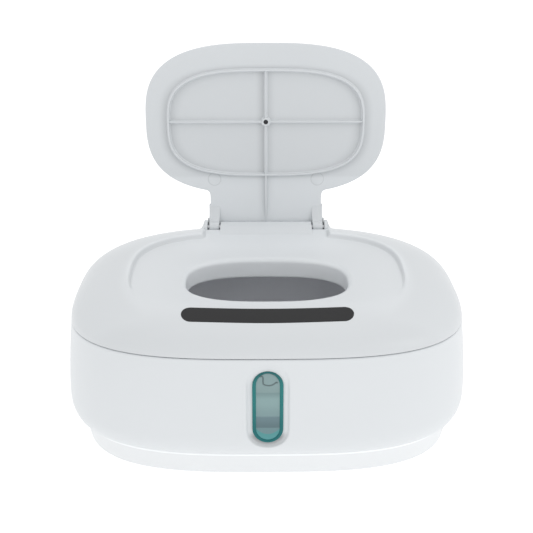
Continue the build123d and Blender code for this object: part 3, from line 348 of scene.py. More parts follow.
# %% The finish and its nodes
class Finish:
    """A material with a Principled shader, and the nodes that feed it."""

    def __init__(self, name):
        self.material = bpy.data.materials.new(name)
        self.material.use_nodes = True
        self.tree = self.material.node_tree
        self.shader = self.tree.nodes["Principled BSDF"]

    def node(self, kind, settings=None, inputs=None, output=0):
        """Adds a node, sets its settings and then its sockets, and returns one of its outputs."""
        made = self.tree.nodes.new(kind)
        for name, setting in (settings or {}).items():
            setattr(made, name, setting)
        for name, value in (inputs or {}).items():
            self._feed(made.inputs[name], value)
        return Value(self, made.outputs[output])

    def _feed(self, entry, value):
        if isinstance(value, Value):
            self.tree.links.new(value.socket, entry)
        elif isinstance(value, tuple) and len(value) == 3 and len(entry.default_value) == 4:
            entry.default_value = (*value, 1.0)
        else:
            entry.default_value = value

    def place(self):
        """Where a point lies on the whole object, in metres."""
        return self.node("ShaderNodeTexCoord", output="Object")

    def axes(self):
        """The three coordinates of that place, each turned into millimetres."""
        parts = [self.node("ShaderNodeSeparateXYZ", inputs={0: self.place()}, output=i) for i in range(3)]
        return [part * (1 / MM) for part in parts]

    def noise(self, scale, detail=2.0, roughness=0.5):
        """Cloudy noise between 0 and 1, with scale clouds to the metre."""
        return self.node("ShaderNodeTexNoise", inputs={
            "Vector": self.place(), "Scale": scale, "Detail": detail, "Roughness": roughness})

    def ease(self, value, start, end):
        """Smooth step from 0 at start to 1 at end."""
        return self.node("ShaderNodeMapRange", {"interpolation_type": "SMOOTHSTEP"}, {
            "Value": value, "From Min": start, "From Max": end, "To Min": 0.0, "To Max": 1.0})

    def lanes(self, value, pitch):
        """Distance from the nearest whole multiple of the pitch."""
        return self.node("ShaderNodeMath", {"operation": "PINGPONG"}, {0: value, 1: pitch / 2})

    def mix(self, share, first, second, bounded=True):
        """Colour share of the way from first to second. Unbounded, a share below 0 goes past first."""
        settings = {"data_type": "RGBA", "clamp_factor": bounded}
        return self.node("ShaderNodeMix", settings, {0: share, 6: first, 7: second}, output=2)

    def bump(self, height, distance, strength=1.0):
        """Raises the shading by height, which runs from 0 to 1, over a distance in metres."""
        bump = self.node("ShaderNodeBump", inputs={
            "Height": height, "Distance": distance, "Strength": strength})
        self._feed(self.shader.inputs["Normal"], bump)

    def set(self, **values):
        """Feeds the shader's inputs, with constants or with nodes."""
        for name, value in values.items():
            self._feed(socket(self.shader, name), value)


def wear(piece, finish):
    """Gives a piece its only material."""
    piece.data.materials.clear()
    piece.data.materials.append(finish.material)
    return piece

# %% [markdown]
# ## White mouldings
# The shells are injection-moulded plastic with a satin face. Such plastic is never one flat white: the
# colour drifts a little with the wall behind it, the gloss is uneven where the melt flowed, and a fine
# spark-eroded grain breaks up the reflections. The pan is whiter than the shells.

# %% Plastic finish
GRAIN_SCALE = 1900.0    # grains to the metre
GRAIN_HEIGHT = 0.00004  # in metres
GRAIN = 0.5
FLOW_SCALE = 14.0       # clouds of colour to the metre
DRIFT = 0.02            # share by which the colour drifts


def shade(color, share):
    """A colour with every channel multiplied by a share."""
    return tuple(channel * share for channel in color)


def satin_plastic(name, base, roughness=0.38, spots=None, depth=0.0):
    """Moulded plastic: base colour with a slow drift, roughness with flow marks, and a fine grain. Where
    spots gives 1 the plastic is darker by depth and where it is negative paler: the finishes below use this
    for painted shade and painted light."""
    finish = Finish(name)
    cloud = finish.noise(FLOW_SCALE, detail=3.0)
    color = finish.mix(cloud, shade(base, 1 - DRIFT), shade(base, 1 + DRIFT))
    if spots:
        color = finish.mix(spots(finish), color, shade(base, 1 - depth), bounded=False)
    speck = finish.noise(GRAIN_SCALE, detail=1.0)
    flow = finish.noise(FLOW_SCALE * 4, detail=4.0, roughness=0.6)
    finish.set(base_color=color, roughness=flow * 0.1 + speck * 0.06 + (roughness - 0.08))
    finish.bump(speck, GRAIN_HEIGHT, GRAIN)
    print(name, len(finish.tree.nodes), "nodes")
    return finish


SHELL_COLOR = (0.69, 0.715, 0.735)
# The lid's white is darker than the shells': painted shade over the whole lid.
LID_COLOR = (0.64, 0.665, 0.685)
shell_white = satin_plastic("shell_white", SHELL_COLOR)
lid_white = satin_plastic("lid_white", LID_COLOR)

# %% [markdown]
# ## The outer housing
# The side wall is one hollow moulding. Its profile leans in towards the seam and tucks under the belly, and
# it is carried round a superellipse. At the front it has a shallow oblong pocket for the window, and behind
# the window the wall is sunk further. At the back a round hole takes the inlet. Columns crowd together at
# both places, so that the edges of the pocket and of the hole are crisp without many faces elsewhere.

# %% Profile of the side wall
WINDOW_Z = 56.4
WINDOW_HALF = 9.0
WINDOW_TALL = 22.7      # half height of the window
POCKET_HALF = 12.75
POCKET_TALL = 27.5
POCKET_DEPTH = 1.0
POCKET_EDGE = 1.1
POCKET_FADE = (66.0, 80.0)  # the pocket runs out towards the top between these heights
POCKET_LOST = 0.8       # share of its depth that is lost there
WELL_DEPTH = 0.5        # the wall behind the window is sunk this much further
WELL_EDGE = 0.9
INLET_Z = 36.0
INLET_R = 5.9
HOLE_DEPTH = 3.0
HOLE_EDGE = 1.0
WALL_EDGE = 0.7         # rounding of the wall's two outer edges
LEDGE_TOP = 80.6        # ledge inside, under the cover's lip
LEDGE_LOW = 78.6
LEDGE_IN = 8.9
FRONT, BACK = 1.5 * np.pi, 0.5 * np.pi


def wall_half(z):
    """Half width of the side wall: a lean of (share of the height)^1.5 above the belly, and a circular
    tuck below it."""
    above = np.clip((z - BELLY_Z) / (SEAM_Z - BELLY_Z), 0, 1) ** SEAM_CURVE
    reach = sin(TUCK_ARC) * np.clip((BELLY_Z - z) / (BELLY_Z - PAN_TOP_Z), 0, 1)
    tuck = (1 - np.sqrt(1 - reach ** 2)) / (1 - cos(TUCK_ARC))
    return BELLY_HALF - SEAM_TAPER * above - BELLY_TUCK * tuck


def level_ring(half_x, half_y, z, turns):
    """One level ring with the housing's power."""
    x, y = superellipse(half_x, half_y, HOUSING_POWER, turns)
    return np.stack([x, y, np.full_like(x, z)], axis=-1)


def around(profile, turns):
    """A profile of (half width, height) carried round. The half depth follows the half width."""
    return np.array([level_ring(half, half - SIDE_TO_FRONT, z, turns) for half, z in profile])


wall_halves = wall_half(np.array([PAN_TOP_Z, BELLY_Z, SEAM_Z]))
print("half widths at the pan, the belly and the seam", np.round(wall_halves, 1))

# %% Rings of the side wall
housing_turns = denser_columns(420, (FRONT, BACK), share=0.55, spread=0.16)
edge = round_over(WALL_EDGE, 5)
outer = [(wall_half(PAN_TOP_Z) - inset, PAN_TOP_Z + rise) for inset, rise in edge[:-1]]
outer += [(wall_half(z), z) for z in np.linspace(PAN_TOP_Z + WALL_EDGE, SEAM_Z - WALL_EDGE, 130)]
rim = [(wall_half(SEAM_Z) - inset, SEAM_Z - drop) for inset, drop in edge[::-1][1:]]
inner = [(wall_half(z) - inset, z) for inset, z in (
    (WALL, SEAM_Z), (WALL, LEDGE_TOP), (LEDGE_IN, LEDGE_TOP), (LEDGE_IN, LEDGE_LOW), (WALL, LEDGE_LOW))]
inner += [(wall_half(z) - WALL, z) for z in np.linspace(LEDGE_LOW, PAN_TOP_Z, 12)[1:]]
housing_grid = around(outer + rim + inner, housing_turns)
print("housing rings", len(outer), "outside,", len(rim + inner), "at the rim and inside")

# %% Pocket, window well and inlet hole
x, y, z = np.moveaxis(housing_grid, -1, 0)
pocket = 1 - ease(outside_slot(z - WINDOW_Z, x, POCKET_TALL, POCKET_HALF), -POCKET_EDGE, 0)
pocket = pocket * (1 - POCKET_LOST * ease(z, *POCKET_FADE))
beyond_well = outside_slot(z - WINDOW_Z, x, WINDOW_TALL - WELL_EDGE, WINDOW_HALF - WELL_EDGE)
well = 1 - ease(beyond_well, -WELL_EDGE, 0)
hole = 1 - ease(np.hypot(x, z - INLET_Z), INLET_R - HOLE_EDGE, INLET_R)
sunk = np.where(y < 0, pocket * POCKET_DEPTH + well * WELL_DEPTH, -hole * HOLE_DEPTH)
housing_grid[:len(outer), :, 1] += sunk[:len(outer)]
housing = surface("housing_shell", housing_grid, close_rows=True)
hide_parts("outer_housing")

# %% The housing's finish
SHADE_REACH = 4.0       # painted shade reaches this far below the window's frame
low_centre = WINDOW_Z - WINDOW_TALL + WINDOW_HALF - 1.8


def painted_shadow_under_window(finish):
    """Painted shadow under the window's frame: 1 at its lower rim, 0 a few millimetres outside it."""
    x, y, z = finish.axes()
    rise = z - low_centre
    away = (x * x + rise * rise) ** 0.5
    below = finish.ease(rise, 0.0, -5.0) * finish.ease(y, -60.0, -75.0)
    return finish.ease(away, WINDOW_HALF + SHADE_REACH, WINDOW_HALF - 0.6) * below


# The housing's colour carries a painted shadow below the window's frame.
housing_white = satin_plastic("housing_white", SHELL_COLOR, spots=painted_shadow_under_window, depth=0.55)
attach(wear(housing, housing_white), "base")

# %% [markdown]
# ## The base pan and its feet
# The pan is a shallow tray that flares up to the housing. It is the same kind of surface, closed at its
# middle by a pole above and one below. Four rubber feet are let into it. A foot is a turned part, so its
# profile is carried round a circle, with a ring of tread on the face that meets the counter.

# %% Base pan
FOOT_STAND = 1.5
PAN_FOOT_HALF_X = 118.3
PAN_FOOT_HALF_Y = 76.8
PAN_LEDGE = 0.8
PAN_ROUND = 2.2         # rounding of its lower edge
PAN_EDGE = 0.5          # and of its upper one
PAN_RIM = 1.5           # the rim is this much wider than the wall
PAN_FLOOR_Z = 3.9
pan_turns = np.linspace(0, 2 * np.pi, 300, endpoint=False)


def pan_ring(inset, z):
    """Ring of the pan: straight lines join the foot's outline to the upper one, moved in by inset."""
    share = (z - FOOT_STAND) / (PAN_TOP_Z - FOOT_STAND)
    top_x = wall_half(PAN_TOP_Z) + PAN_LEDGE
    half_x = PAN_FOOT_HALF_X + (top_x - PAN_FOOT_HALF_X) * share - inset
    half_y = PAN_FOOT_HALF_Y + (top_x - SIDE_TO_FRONT - PAN_FOOT_HALF_Y) * share - inset
    return level_ring(half_x, half_y, z, pan_turns)


pan_levels = [(inset, FOOT_STAND) for inset in (60.0, 30.0, 12.0, 5.0)]
pan_levels += [(inset, FOOT_STAND + rise) for inset, rise in round_over(PAN_ROUND, 7)]
pan_levels += [(0.0, z) for z in np.linspace(FOOT_STAND + PAN_ROUND, PAN_TOP_Z - PAN_EDGE, 14)[1:]]
pan_levels += [(inset, PAN_TOP_Z - drop) for inset, drop in round_over(PAN_EDGE, 5)[::-1][1:]]
pan_levels += [(PAN_RIM + WALL, PAN_TOP_Z), (WALL, PAN_FLOOR_Z), (60.0, PAN_FLOOR_Z)]
pan_rows = [pan_ring(inset, z) for inset, z in pan_levels]
pan = surface("pan_shell", pan_rows, poles=((0, 0, FOOT_STAND), (0, 0, PAN_FLOOR_Z)))
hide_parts("base_pan")


def painted_highlight_pan_lip(finish):
    """-1 along the pan's upper edge, where a painted highlight lies on its rounded top, and 0 below it."""
    z = finish.axes()[2]
    return finish.ease(z, PAN_TOP_Z - 1.9, PAN_TOP_Z - 1.1) * -1


# The pan's colour carries a painted highlight along its upper edge.
PAN_COLOR = (0.775, 0.795, 0.81)
pan_white = satin_plastic("pan_white", PAN_COLOR, roughness=0.45, spots=painted_highlight_pan_lip, depth=0.19)
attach(wear(pan, pan_white), "base")

# %% Turned parts
TURNED_COLUMNS = 48


def turned(name, profile, centres, axis=(0, 0, 1)):
    """Solid of revolution at each centre. The profile is (radius, height along the axis), and its two
    ends are closed on the axis. With u and v square to the axis, a point is
    centre + radius (u cos t + v sin t) + height axis."""
    axis = np.array(Vector(axis).normalized())
    u = np.cross(axis, (1, 0, 0) if abs(axis[0]) < 0.9 else (0, 1, 0))
    u = u / np.linalg.norm(u)
    v = np.cross(axis, u)
    t = np.linspace(0, 2 * np.pi, TURNED_COLUMNS, endpoint=False)
    circle = np.cos(t)[:, None] * u + np.sin(t)[:, None] * v
    profile = np.asarray(profile, float)
    parts = []
    for number, centre in enumerate(centres):
        centre = np.asarray(centre, float)
        grid = centre + profile[:, 0, None, None] * circle + profile[:, 1, None, None] * axis
        ends = [centre + profile[end, 1] * axis for end in (0, -1)]
        parts.append(surface(f"{name}_{number}", grid, poles=ends))
    return join(name, *parts) if len(parts) > 1 else parts[0]


def rounded_disc(radius, low, high, edge, steps=5):
    """Profile of a disc from height low to high whose two edges are rounded."""
    quarter = round_over(edge, steps)
    lower = [(radius - inset, low + rise) for inset, rise in quarter]
    upper = [(radius - inset, high - drop) for inset, drop in quarter[::-1]]
    return lower + upper

# %% Rubber feet
rubber = Finish("foot_rubber")
dust = rubber.noise(220.0, detail=3.0)
rubber.set(base_color=rubber.mix(dust, (0.030, 0.030, 0.032), (0.055, 0.055, 0.058)),
           roughness=dust * 0.2 + 0.6)
rubber.bump(rubber.noise(900.0), 0.0001)
FOOT_R = 8.0
FOOT_X, FOOT_Y = 85.0, 50.0
FOOT_LET_IN = 1.0       # a foot reaches this far into the pan
tread = [(0.5, 0.6), (2.5, 0.6), (3.0, 0.0), (4.5, 0.0), (5.0, 0.6)]
foot_profile = tread + rounded_disc(FOOT_R, 0.0, FOOT_STAND + FOOT_LET_IN, 0.5)
foot_places = [(x, y, 0.0) for x in (-FOOT_X, FOOT_X) for y in (-FOOT_Y, FOOT_Y)]
feet = turned("foot_pads", foot_profile, foot_places)
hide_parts("rubber_feet")
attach(wear(feet, rubber), "base")

# %% [markdown]
# ## The cover
# The cover is the hardest moulding: a domed shoulder, a shallow recess for the lid that fades out at the
# front, and an opening with a rolled edge. Seen from above it is a height for every place, so the surface
# is made in two steps. First its rings are laid out, from the seam inwards to the opening. Then each point
# gets its height: the lower of the dome and of the recess, joined by a smooth minimum, which rolls the
# recess's edge as the real moulding's radius does.

# %% Sizes of the cover
SEAM_HALF = BELLY_HALF - SEAM_TAPER
COVER_Z = SEAM_Z + SEAM_GAP
LID_HALF_X = 82.4
LID_HALF_Y = 51.6
LID_CENTRE = 74.9       # middle of the lid, ahead of the hinge axis
LID_POWER = 2.9
RECESS_MARGIN = 2.2
RECESS_BACK = 2.4       # the recess is this much longer than the lid, all of it at the back
RECESS_SLOPE = 1.7      # height gained by the recess wall per mm outwards
RECESS_ROLL = 1.4
OPENING_Y = -22.2
OPENING_HALF_X = 50.2
OPENING_HALF_Y = 28.2
OPENING_POWER = 2.7
OPENING_ROLL = 3.0
OPENING_FOOT_Z = 96.5
NOTCH_HALF = 42.4       # notch in the recess wall for the lid's neck
NOTCH_REACH = 31.0
NOTCH_SLOPE = 1.8
tilt = radians(TOP_TILT)
print("opening", 2 * OPENING_HALF_X, "by", 2 * OPENING_HALF_Y)

# %% The dome
def dome_ring(turn, inset):
    """Half sizes, power and height of the shoulder at a turn of its quarter ellipse, 0 at the seam."""
    share = np.sin(turn)
    drawn_in = SHOULDER * (1 - np.cos(turn))
    half_x = SEAM_HALF - drawn_in - inset
    half_y = SEAM_HALF - SIDE_TO_FRONT - SHOULDER_RATIO * drawn_in - inset
    power = HOUSING_POWER + (DOME_POWER - HOUSING_POWER) * share
    return half_x, half_y, power, COVER_Z + (DOME_RISE - inset) * share


def dome_height(x, y, inset):
    """Height of the shoulder over a place: halving finds the turn whose ring passes through it."""
    low, high = np.zeros_like(x), np.full_like(x, np.pi / 2)
    for _ in range(32):
        middle = (low + high) / 2
        half_x, half_y, power, _z = dome_ring(middle, inset)
        inside = radius_share(x, y, half_x, half_y, power) < 1
        low, high = np.where(inside, middle, low), np.where(inside, high, middle)
    return dome_ring(low, inset)[3] + y * np.sin(tilt * np.sin(low))


print("top of the dome before the recess", round(float(dome_ring(np.pi / 2, 0.0)[3]), 1))

# %% The recess
def floor_height(y):
    """Height of the recess floor, a plane that falls by 2 degrees towards the front."""
    return HINGE_Z + FLOOR_ABOVE_AXIS / cos(tilt) - (HINGE_Y - y) * tan(tilt)


def beyond_recess(x, y):
    """Distance outside the lid's outline and the neck's notch, negative inside them."""
    centre_y = HINGE_Y - LID_CENTRE + RECESS_BACK / 2
    half_y = LID_HALF_Y + RECESS_MARGIN + RECESS_BACK / 2
    beyond_lid = outside(x, y - centre_y, LID_HALF_X + RECESS_MARGIN, half_y, LID_POWER)
    beyond_notch = NOTCH_SLOPE * outside_box(x, y - HINGE_Y, NOTCH_HALF, NOTCH_REACH)
    return soft_min(beyond_lid, beyond_notch, RECESS_ROLL)


def recess_height(x, y):
    """The floor inside the recess's outline, and a slope up outside it."""
    return floor_height(y) + np.maximum(beyond_recess(x, y), 0) * RECESS_SLOPE


def cover_height(x, y, inset):
    """The lower of dome and recess, less the wall where the inner side is asked for."""
    return soft_min(dome_height(x, y, inset), recess_height(x, y) - inset, RECESS_ROLL + inset)


print("recess floor at the opening", round(floor_height(OPENING_Y), 1))

# %% Rings of the cover
cover_turns = np.linspace(0, 2 * np.pi, 480, endpoint=False)
FIRST_DOME_TURN = 0.025
LAST_DOME_TURN = 1.08
OUTER_ROWS = (56, 84)   # rows of the dome, and from there to the opening
INNER_ROWS = (14, 18)
COLLAR_WALL = 2.0


def opening_ring(grow):
    """Outline of the opening, grown outwards."""
    x, y = superellipse(OPENING_HALF_X + grow, OPENING_HALF_Y + grow, OPENING_POWER, cover_turns)
    return x, y + OPENING_Y


def cover_field(inset, grow, dome_rows, field_rows):
    """Wall from the seam to the opening: rings of the dome, then straight steps to the opening's outline."""
    rings = []
    for turn in np.linspace(FIRST_DOME_TURN, LAST_DOME_TURN, dome_rows):
        half_x, half_y, power, _ = dome_ring(turn, inset)
        rings.append(np.array(superellipse(half_x, half_y, power, cover_turns)))
    outer, inner = rings[-1], np.array(opening_ring(grow))
    rings += [outer + (inner - outer) * share for share in np.linspace(0, 1, field_rows)[1:]]
    x, y = np.array(rings).transpose(1, 0, 2)
    return np.stack([x, y, cover_height(x, y, inset)], axis=-1)


def opening_wall(grow, steps):
    """Wall of the opening, widened by grow, from the recess floor down to its foot."""
    x, y = opening_ring(grow)
    top = floor_height(y) - OPENING_ROLL
    share = np.linspace(0, 1, steps)[:, None]
    z = top + (OPENING_FOOT_Z - top) * share
    return np.stack([np.broadcast_to(x, z.shape), np.broadcast_to(y, z.shape), z], axis=-1)


def opening_roll():
    """Quarter round of the opening's edge, from the recess floor to the top of its wall."""
    rings = []
    for grow, drop in round_over(OPENING_ROLL, 9)[1:-1]:
        x, y = opening_ring(grow)
        rings.append(np.stack([x, y, floor_height(y) - drop], axis=-1))
    return np.array(rings)


print("rings outside", sum(OUTER_ROWS), "and inside", sum(INNER_ROWS))

# %% [markdown]
# Two details are pressed into that height field at the back: a trench for each knuckle of the lid, and an
# ear outside it that holds the pin. The ears' own thin discs are separate pieces further on, and they hide
# the steep edges that a height field can't draw sharply.

# %% Knuckle trenches and ears
BARREL_HALF = 31.9
EAR_INNER = 41.2
EAR_OUTER = 43.4
EAR_R = 5.2
TRENCH_R = 4.9
TRENCH_RAMP = 2.8       # the trench floor climbs back to the recess floor over this length
TRENCH_INNER = (BARREL_HALF - 1.9, BARREL_HALF - 0.5)   # its inner side climbs between these places
TRENCH_OUTER = (EAR_INNER + 0.5, EAR_OUTER - 0.4)       # and its outer one between these
EAR_FLANK = 1.5         # the ears die away over this width outside


def with_hinge(grid):
    """The cover's outer side with the trenches sunk round the hinge axis and the ears raised beside them."""
    x, y, z = np.moveaxis(grid, -1, 0)
    side, ahead = np.abs(x), HINGE_Y - y
    along = np.abs(ahead)
    climb = np.maximum(ahead - TRENCH_R, 0) / TRENCH_RAMP
    trench = HINGE_Z - np.sqrt(np.maximum(TRENCH_R ** 2 - along ** 2, 0)) + climb * FLOOR_ABOVE_AXIS
    share = ease(side, *TRENCH_INNER) * (1 - ease(side, *TRENCH_OUTER))
    sunk = (ahead > -TRENCH_R) & (climb < 1)
    z = np.where(sunk, z + (np.minimum(z, trench) - z) * share, z)
    beyond_ear = np.maximum(side - EAR_OUTER, 0)
    arch = np.sqrt(np.maximum(EAR_R ** 2 - along ** 2, 0))
    ear = HINGE_Z + arch * np.exp(-beyond_ear / EAR_FLANK) - beyond_ear
    raised = (side > (EAR_INNER + EAR_OUTER) / 2) & (along < EAR_R)
    z = np.where(raised, soft_max(z, ear, 1.0), z)
    return np.stack([x, y, z], axis=-1)


print("gap between block and ear", round(EAR_INNER - BARREL_HALF, 1))

# %% The cover's shell
SEAM_EDGE = 0.6
SEAM_SLIM = 0.4         # the wall is this much thinner at the seam
COLLAR_EDGE = 0.5
seam_edge = [(SEAM_HALF - inset, COVER_Z + rise) for inset, rise in round_over(SEAM_EDGE, 4)[:-1]]
outer_side = with_hinge(cover_field(0.0, OPENING_ROLL, *OUTER_ROWS))
collar_foot = [opening_wall(grow, 2)[1:] - (0, 0, COLLAR_EDGE)
               for grow in (COLLAR_EDGE, COLLAR_WALL - COLLAR_EDGE)]
collar_out = opening_wall(COLLAR_WALL, 6)[::-1]
inner_side = cover_field(WALL, COLLAR_WALL, *INNER_ROWS)[::-1]
seam_inner = [(SEAM_HALF - WALL + SEAM_SLIM, COVER_Z)]
cover_grid = np.concatenate([around(seam_edge, cover_turns), outer_side, opening_roll(),
                             opening_wall(0.0, 10), *collar_foot, collar_out, inner_side,
                             around(seam_inner, cover_turns)])
cover = surface("cover_shell", cover_grid, close_rows=True)
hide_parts("top_cover")

# %% The cover's finish
FOOT_BAND = ((-1.2, 0.2), (0.8, 1.9))   # distances from the recess's outline
RIM_BAND = ((1.4, 2.3), (2.8, 5.0))


def band(value, rise, fall):
    """Rises from 0 to 1 over the first span, and falls back over the second."""
    return ease(value, *rise) * (1 - ease(value, *fall))


# Masks of painted shade and light, kept on the mesh: shade at the foot of the recess wall and over the front
# shoulder, a highlight along the recess rim, and light inside the opening and on the floor before the hinge.
x, y = cover_grid[..., 0], cover_grid[..., 1]
beyond = beyond_recess(x, y)
sunk = ease(dome_height(x, y, 0.0) - floor_height(y), 0.3, 2.5)
foot_shade = band(beyond, *FOOT_BAND) * sunk
rim_light = band(beyond, *RIM_BAND) * sunk
from_opening = radius_share(x, y - OPENING_Y, OPENING_HALF_X, OPENING_HALF_Y, OPENING_POWER)
opening_painted_light = 1 - ease(from_opening, 1.0, 1.05)
painted_front_shade_hinge_light = np.maximum(ease(-y, 52.0, 72.0), 0.6 * ease(beyond, 2.0, 9.0) * ease(-y, -45.0, 0.0))
painted_front_shade_hinge_light = painted_front_shade_hinge_light - 0.7 * ease(y, 8.0, 30.0) * (1 - ease(np.abs(x), 35.0, 75.0))
cover_masks = {"foot_shade": foot_shade, "rim_light": rim_light, "opening_painted_light": opening_painted_light,
               "painted_front_shade_hinge_light": painted_front_shade_hinge_light}
for name, values in cover_masks.items():
    cover.data.attributes.new(name, "FLOAT", "POINT").data.foreach_set("value", values.ravel())
    print(name, "from", round(float(values.min()), 2), "to", round(float(values.max()), 2))


def cover_painted_light_and_shade(finish):
    """Painted shade along the foot of the recess wall and over the front shoulder, a painted highlight along
    the recess rim, and painted light before the hinge and inside the opening, from the mesh's own
    attributes."""
    foot, rim, opening_lit, front = (finish.node("ShaderNodeAttribute", {"attribute_name": name}, output=2)
                               for name in cover_masks)
    return foot * 0.8 + front * 0.5 - rim * 0.35 - opening_lit * 0.9


# cover_white carries the painted shade and painted light of these masks.
cover_white = satin_plastic("cover_white", SHELL_COLOR, spots=cover_painted_light_and_shade, depth=0.15)
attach(wear(cover, cover_white), "cover")

# %% Locating lip under the seam
LIP_IN = 3.3
LIP_WALL = 1.8
LIP_FOOT_Z = 80.9
LIP_TOP_Z = COVER_Z + 3.0
LIP_BEVEL = 0.6
lip_out, lip_in = SEAM_HALF - LIP_IN, SEAM_HALF - LIP_IN - LIP_WALL
lip_profile = [(lip_out, LIP_TOP_Z), (lip_out, LIP_FOOT_Z + LIP_BEVEL), (lip_out - LIP_BEVEL, LIP_FOOT_Z),
               (lip_in + LIP_BEVEL, LIP_FOOT_Z), (lip_in, LIP_FOOT_Z + LIP_BEVEL), (lip_in, LIP_TOP_Z)]
lip = surface("cover_lip", around(lip_profile, cover_turns), close_rows=True)
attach(wear(lip, shell_white), "cover")

# %% [markdown]
# ## Prisms with rounded ends
# Ribs, arms and the hinge block are side views pushed out along a line. Each outline is drawn once, its
# sharp corners are rounded, and it is carried along x. Near both ends it shrinks a little along its own
# normals, which bevels the ends as a mould does.

# %% Prism helpers
CORNER_STEPS = 6
BEVEL_STEPS = 4
SHARP_ANGLE = radians(50)


def rounded_loop(corners):
    """Closed outline through corners (a, b, radius). Each corner is replaced by an arc drawn as a quadratic
    curve that starts and ends one radius away from it."""
    corners = np.asarray(corners, float)
    place, radius = corners[:, :2], corners[:, 2:]
    back = np.roll(place, 1, axis=0) - place
    ahead = np.roll(place, -1, axis=0) - place
    back_length = np.linalg.norm(back, axis=1, keepdims=True)
    ahead_length = np.linalg.norm(ahead, axis=1, keepdims=True)
    reach = np.minimum(radius, np.minimum(back_length, ahead_length) * 0.49)
    start = place + back / back_length * reach
    end = place + ahead / ahead_length * reach
    t = np.linspace(0, 1, CORNER_STEPS)[None, :, None]
    curve = (1 - t) ** 2 * start[:, None] + 2 * t * (1 - t) * place[:, None] + t ** 2 * end[:, None]
    return curve.reshape(-1, 2)


def loop_normals(loop):
    """Outward normals of a closed outline, from the difference of each point's two neighbours."""
    along = np.roll(loop, -1, axis=0) - np.roll(loop, 1, axis=0)
    along = along / np.maximum(np.linalg.norm(along, axis=1, keepdims=True), 1e-9)
    following = np.roll(loop, -1, axis=0)
    area = (loop[:, 0] * following[:, 1] - following[:, 0] * loop[:, 1]).sum() / 2
    return np.stack([along[:, 1], -along[:, 0]], axis=-1) * np.sign(area)

# %% Prism, alone and as a pair
def prism(name, loop, low, high, to_place, bevel):
    """The outline carried from low to high along x, beveled at both ends. to_place turns (x, a, b) into
    a point of the whole object."""
    loop = np.asarray(loop, float)
    normals = loop_normals(loop)
    quarter = round_over(bevel, BEVEL_STEPS)
    stations = [(low + rise, inset) for inset, rise in quarter]
    stations += [(high - rise, inset) for inset, rise in quarter[::-1]]
    rows = [to_place(np.full(len(loop), x), *(loop - normals * inset).T) for x, inset in stations]
    piece = surface(name, rows, caps=True)
    piece.data.set_sharp_from_angle(angle=SHARP_ANGLE)
    return piece


def pair(name, loop, inner, outer, to_place, bevel):
    """The same prism on both sides, from inner to outer, the left one first."""
    return [prism(f"{name}_{side}", loop, *sorted((side * inner, side * outer)), to_place, bevel)
            for side in (-1, 1)]


def on_circle(radius, turns):
    """Points (radius cos t, radius sin t) at turns in degrees."""
    turns = np.radians(turns)
    return np.stack([radius * np.cos(turns), radius * np.sin(turns)], axis=-1)


def from_axis(turn):
    """Maker of places from (x, ahead, above) of the hinge axis, with the lid turned by an angle."""
    c, s = cos(radians(turn)), sin(radians(turn))

    def to_place(x, ahead, above):
        y = HINGE_Y - ahead * c - above * s
        z = HINGE_Z - ahead * s + above * c
        return np.stack(np.broadcast_arrays(x, y, z), axis=-1)
    return to_place

# %% [markdown]
# ## Hinge block, ears and grip strip
# Between the lid's two arms stands a block that runs down into the recess floor without an edge. The ears
# are thin discs outside the arms. The soft strip lies in the front shoulder: its ends are fully round, and
# every point of it takes the cover's own height, so it bends as the shoulder does.

# %% Hinge block and ears
BLOCK_R = 3.8
BLOCK_FLOW = 18.0       # the block has melted into the floor this far ahead of the axis
BLOCK_SINK = 0.1
BLOCK_FOOT = -4.5
BLOCK_FLARE = 0.004     # the block widens towards its foot by this share per mm
EAR_FOOT = -5.5         # ears and webs reach this far below the axis
WEB_REACH = 1.05        # thin web behind the slit between ear and arm
WEB_BACK, WEB_FRONT = -5.3, -4.7
at_cover = from_axis(TOP_TILT)
flow = np.linspace(0, BLOCK_FLOW, 30)[1:]
fall = BLOCK_R + (FLOOR_ABOVE_AXIS - BLOCK_SINK - BLOCK_R) * ease(flow, -1.0, BLOCK_FLOW)
under = [(BLOCK_FLOW, 0.0), (4.0, BLOCK_FOOT), (-BLOCK_R, BLOCK_FOOT)]
block_crest = on_circle(BLOCK_R, np.linspace(180, 90, 14))
block_loop = np.concatenate([block_crest, np.stack([flow, fall], axis=-1), under])


def flared(x, ahead, above):
    """Place on the block, whose ends lean outwards as they go down."""
    return at_cover(x * (1 + BLOCK_FLARE * (BLOCK_R - above)), ahead, above)


block = prism("hinge_block", block_loop, -BARREL_HALF, BARREL_HALF, flared, bevel=0.35)
webs = []
for place, low, high, top in (("outer", EAR_INNER - WEB_REACH, EAR_INNER, 5.0), ("inner", 30.0, 34.5, 3.0)):
    web_loop = [(WEB_BACK, EAR_FOOT), (WEB_FRONT, EAR_FOOT), (WEB_FRONT, top), (WEB_BACK, top)]
    webs += pair(f"hinge_web_{place}", web_loop, low, high, at_cover, bevel=0.05)
ear_foot = [(-EAR_R, EAR_FOOT), (EAR_R, EAR_FOOT)]
ear_loop = np.concatenate([on_circle(EAR_R, np.linspace(0, 180, 33)), ear_foot])
ears = pair("hinge_ear", ear_loop, EAR_INNER, EAR_OUTER, at_cover, bevel=0.5)
for piece in [block, *ears, *webs]:
    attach(wear(piece, shell_white), "cover")

# %% Grip strip
STRIP_HALF = 50.2
STRIP_R = 5.8
STRIP_Y = -65.9
STRIP_SLOPE = 21.7      # degrees by which the shoulder leans under the strip
STRIP_BOW = 2.4         # its middle lies this much further forward than its straight part's ends
STRIP_PROUD = 0.2
STRIP_THICK = 1.2
STRIP_EDGE = 0.45
STRIP_STATIONS = 160
STRIP_COLUMNS = 25

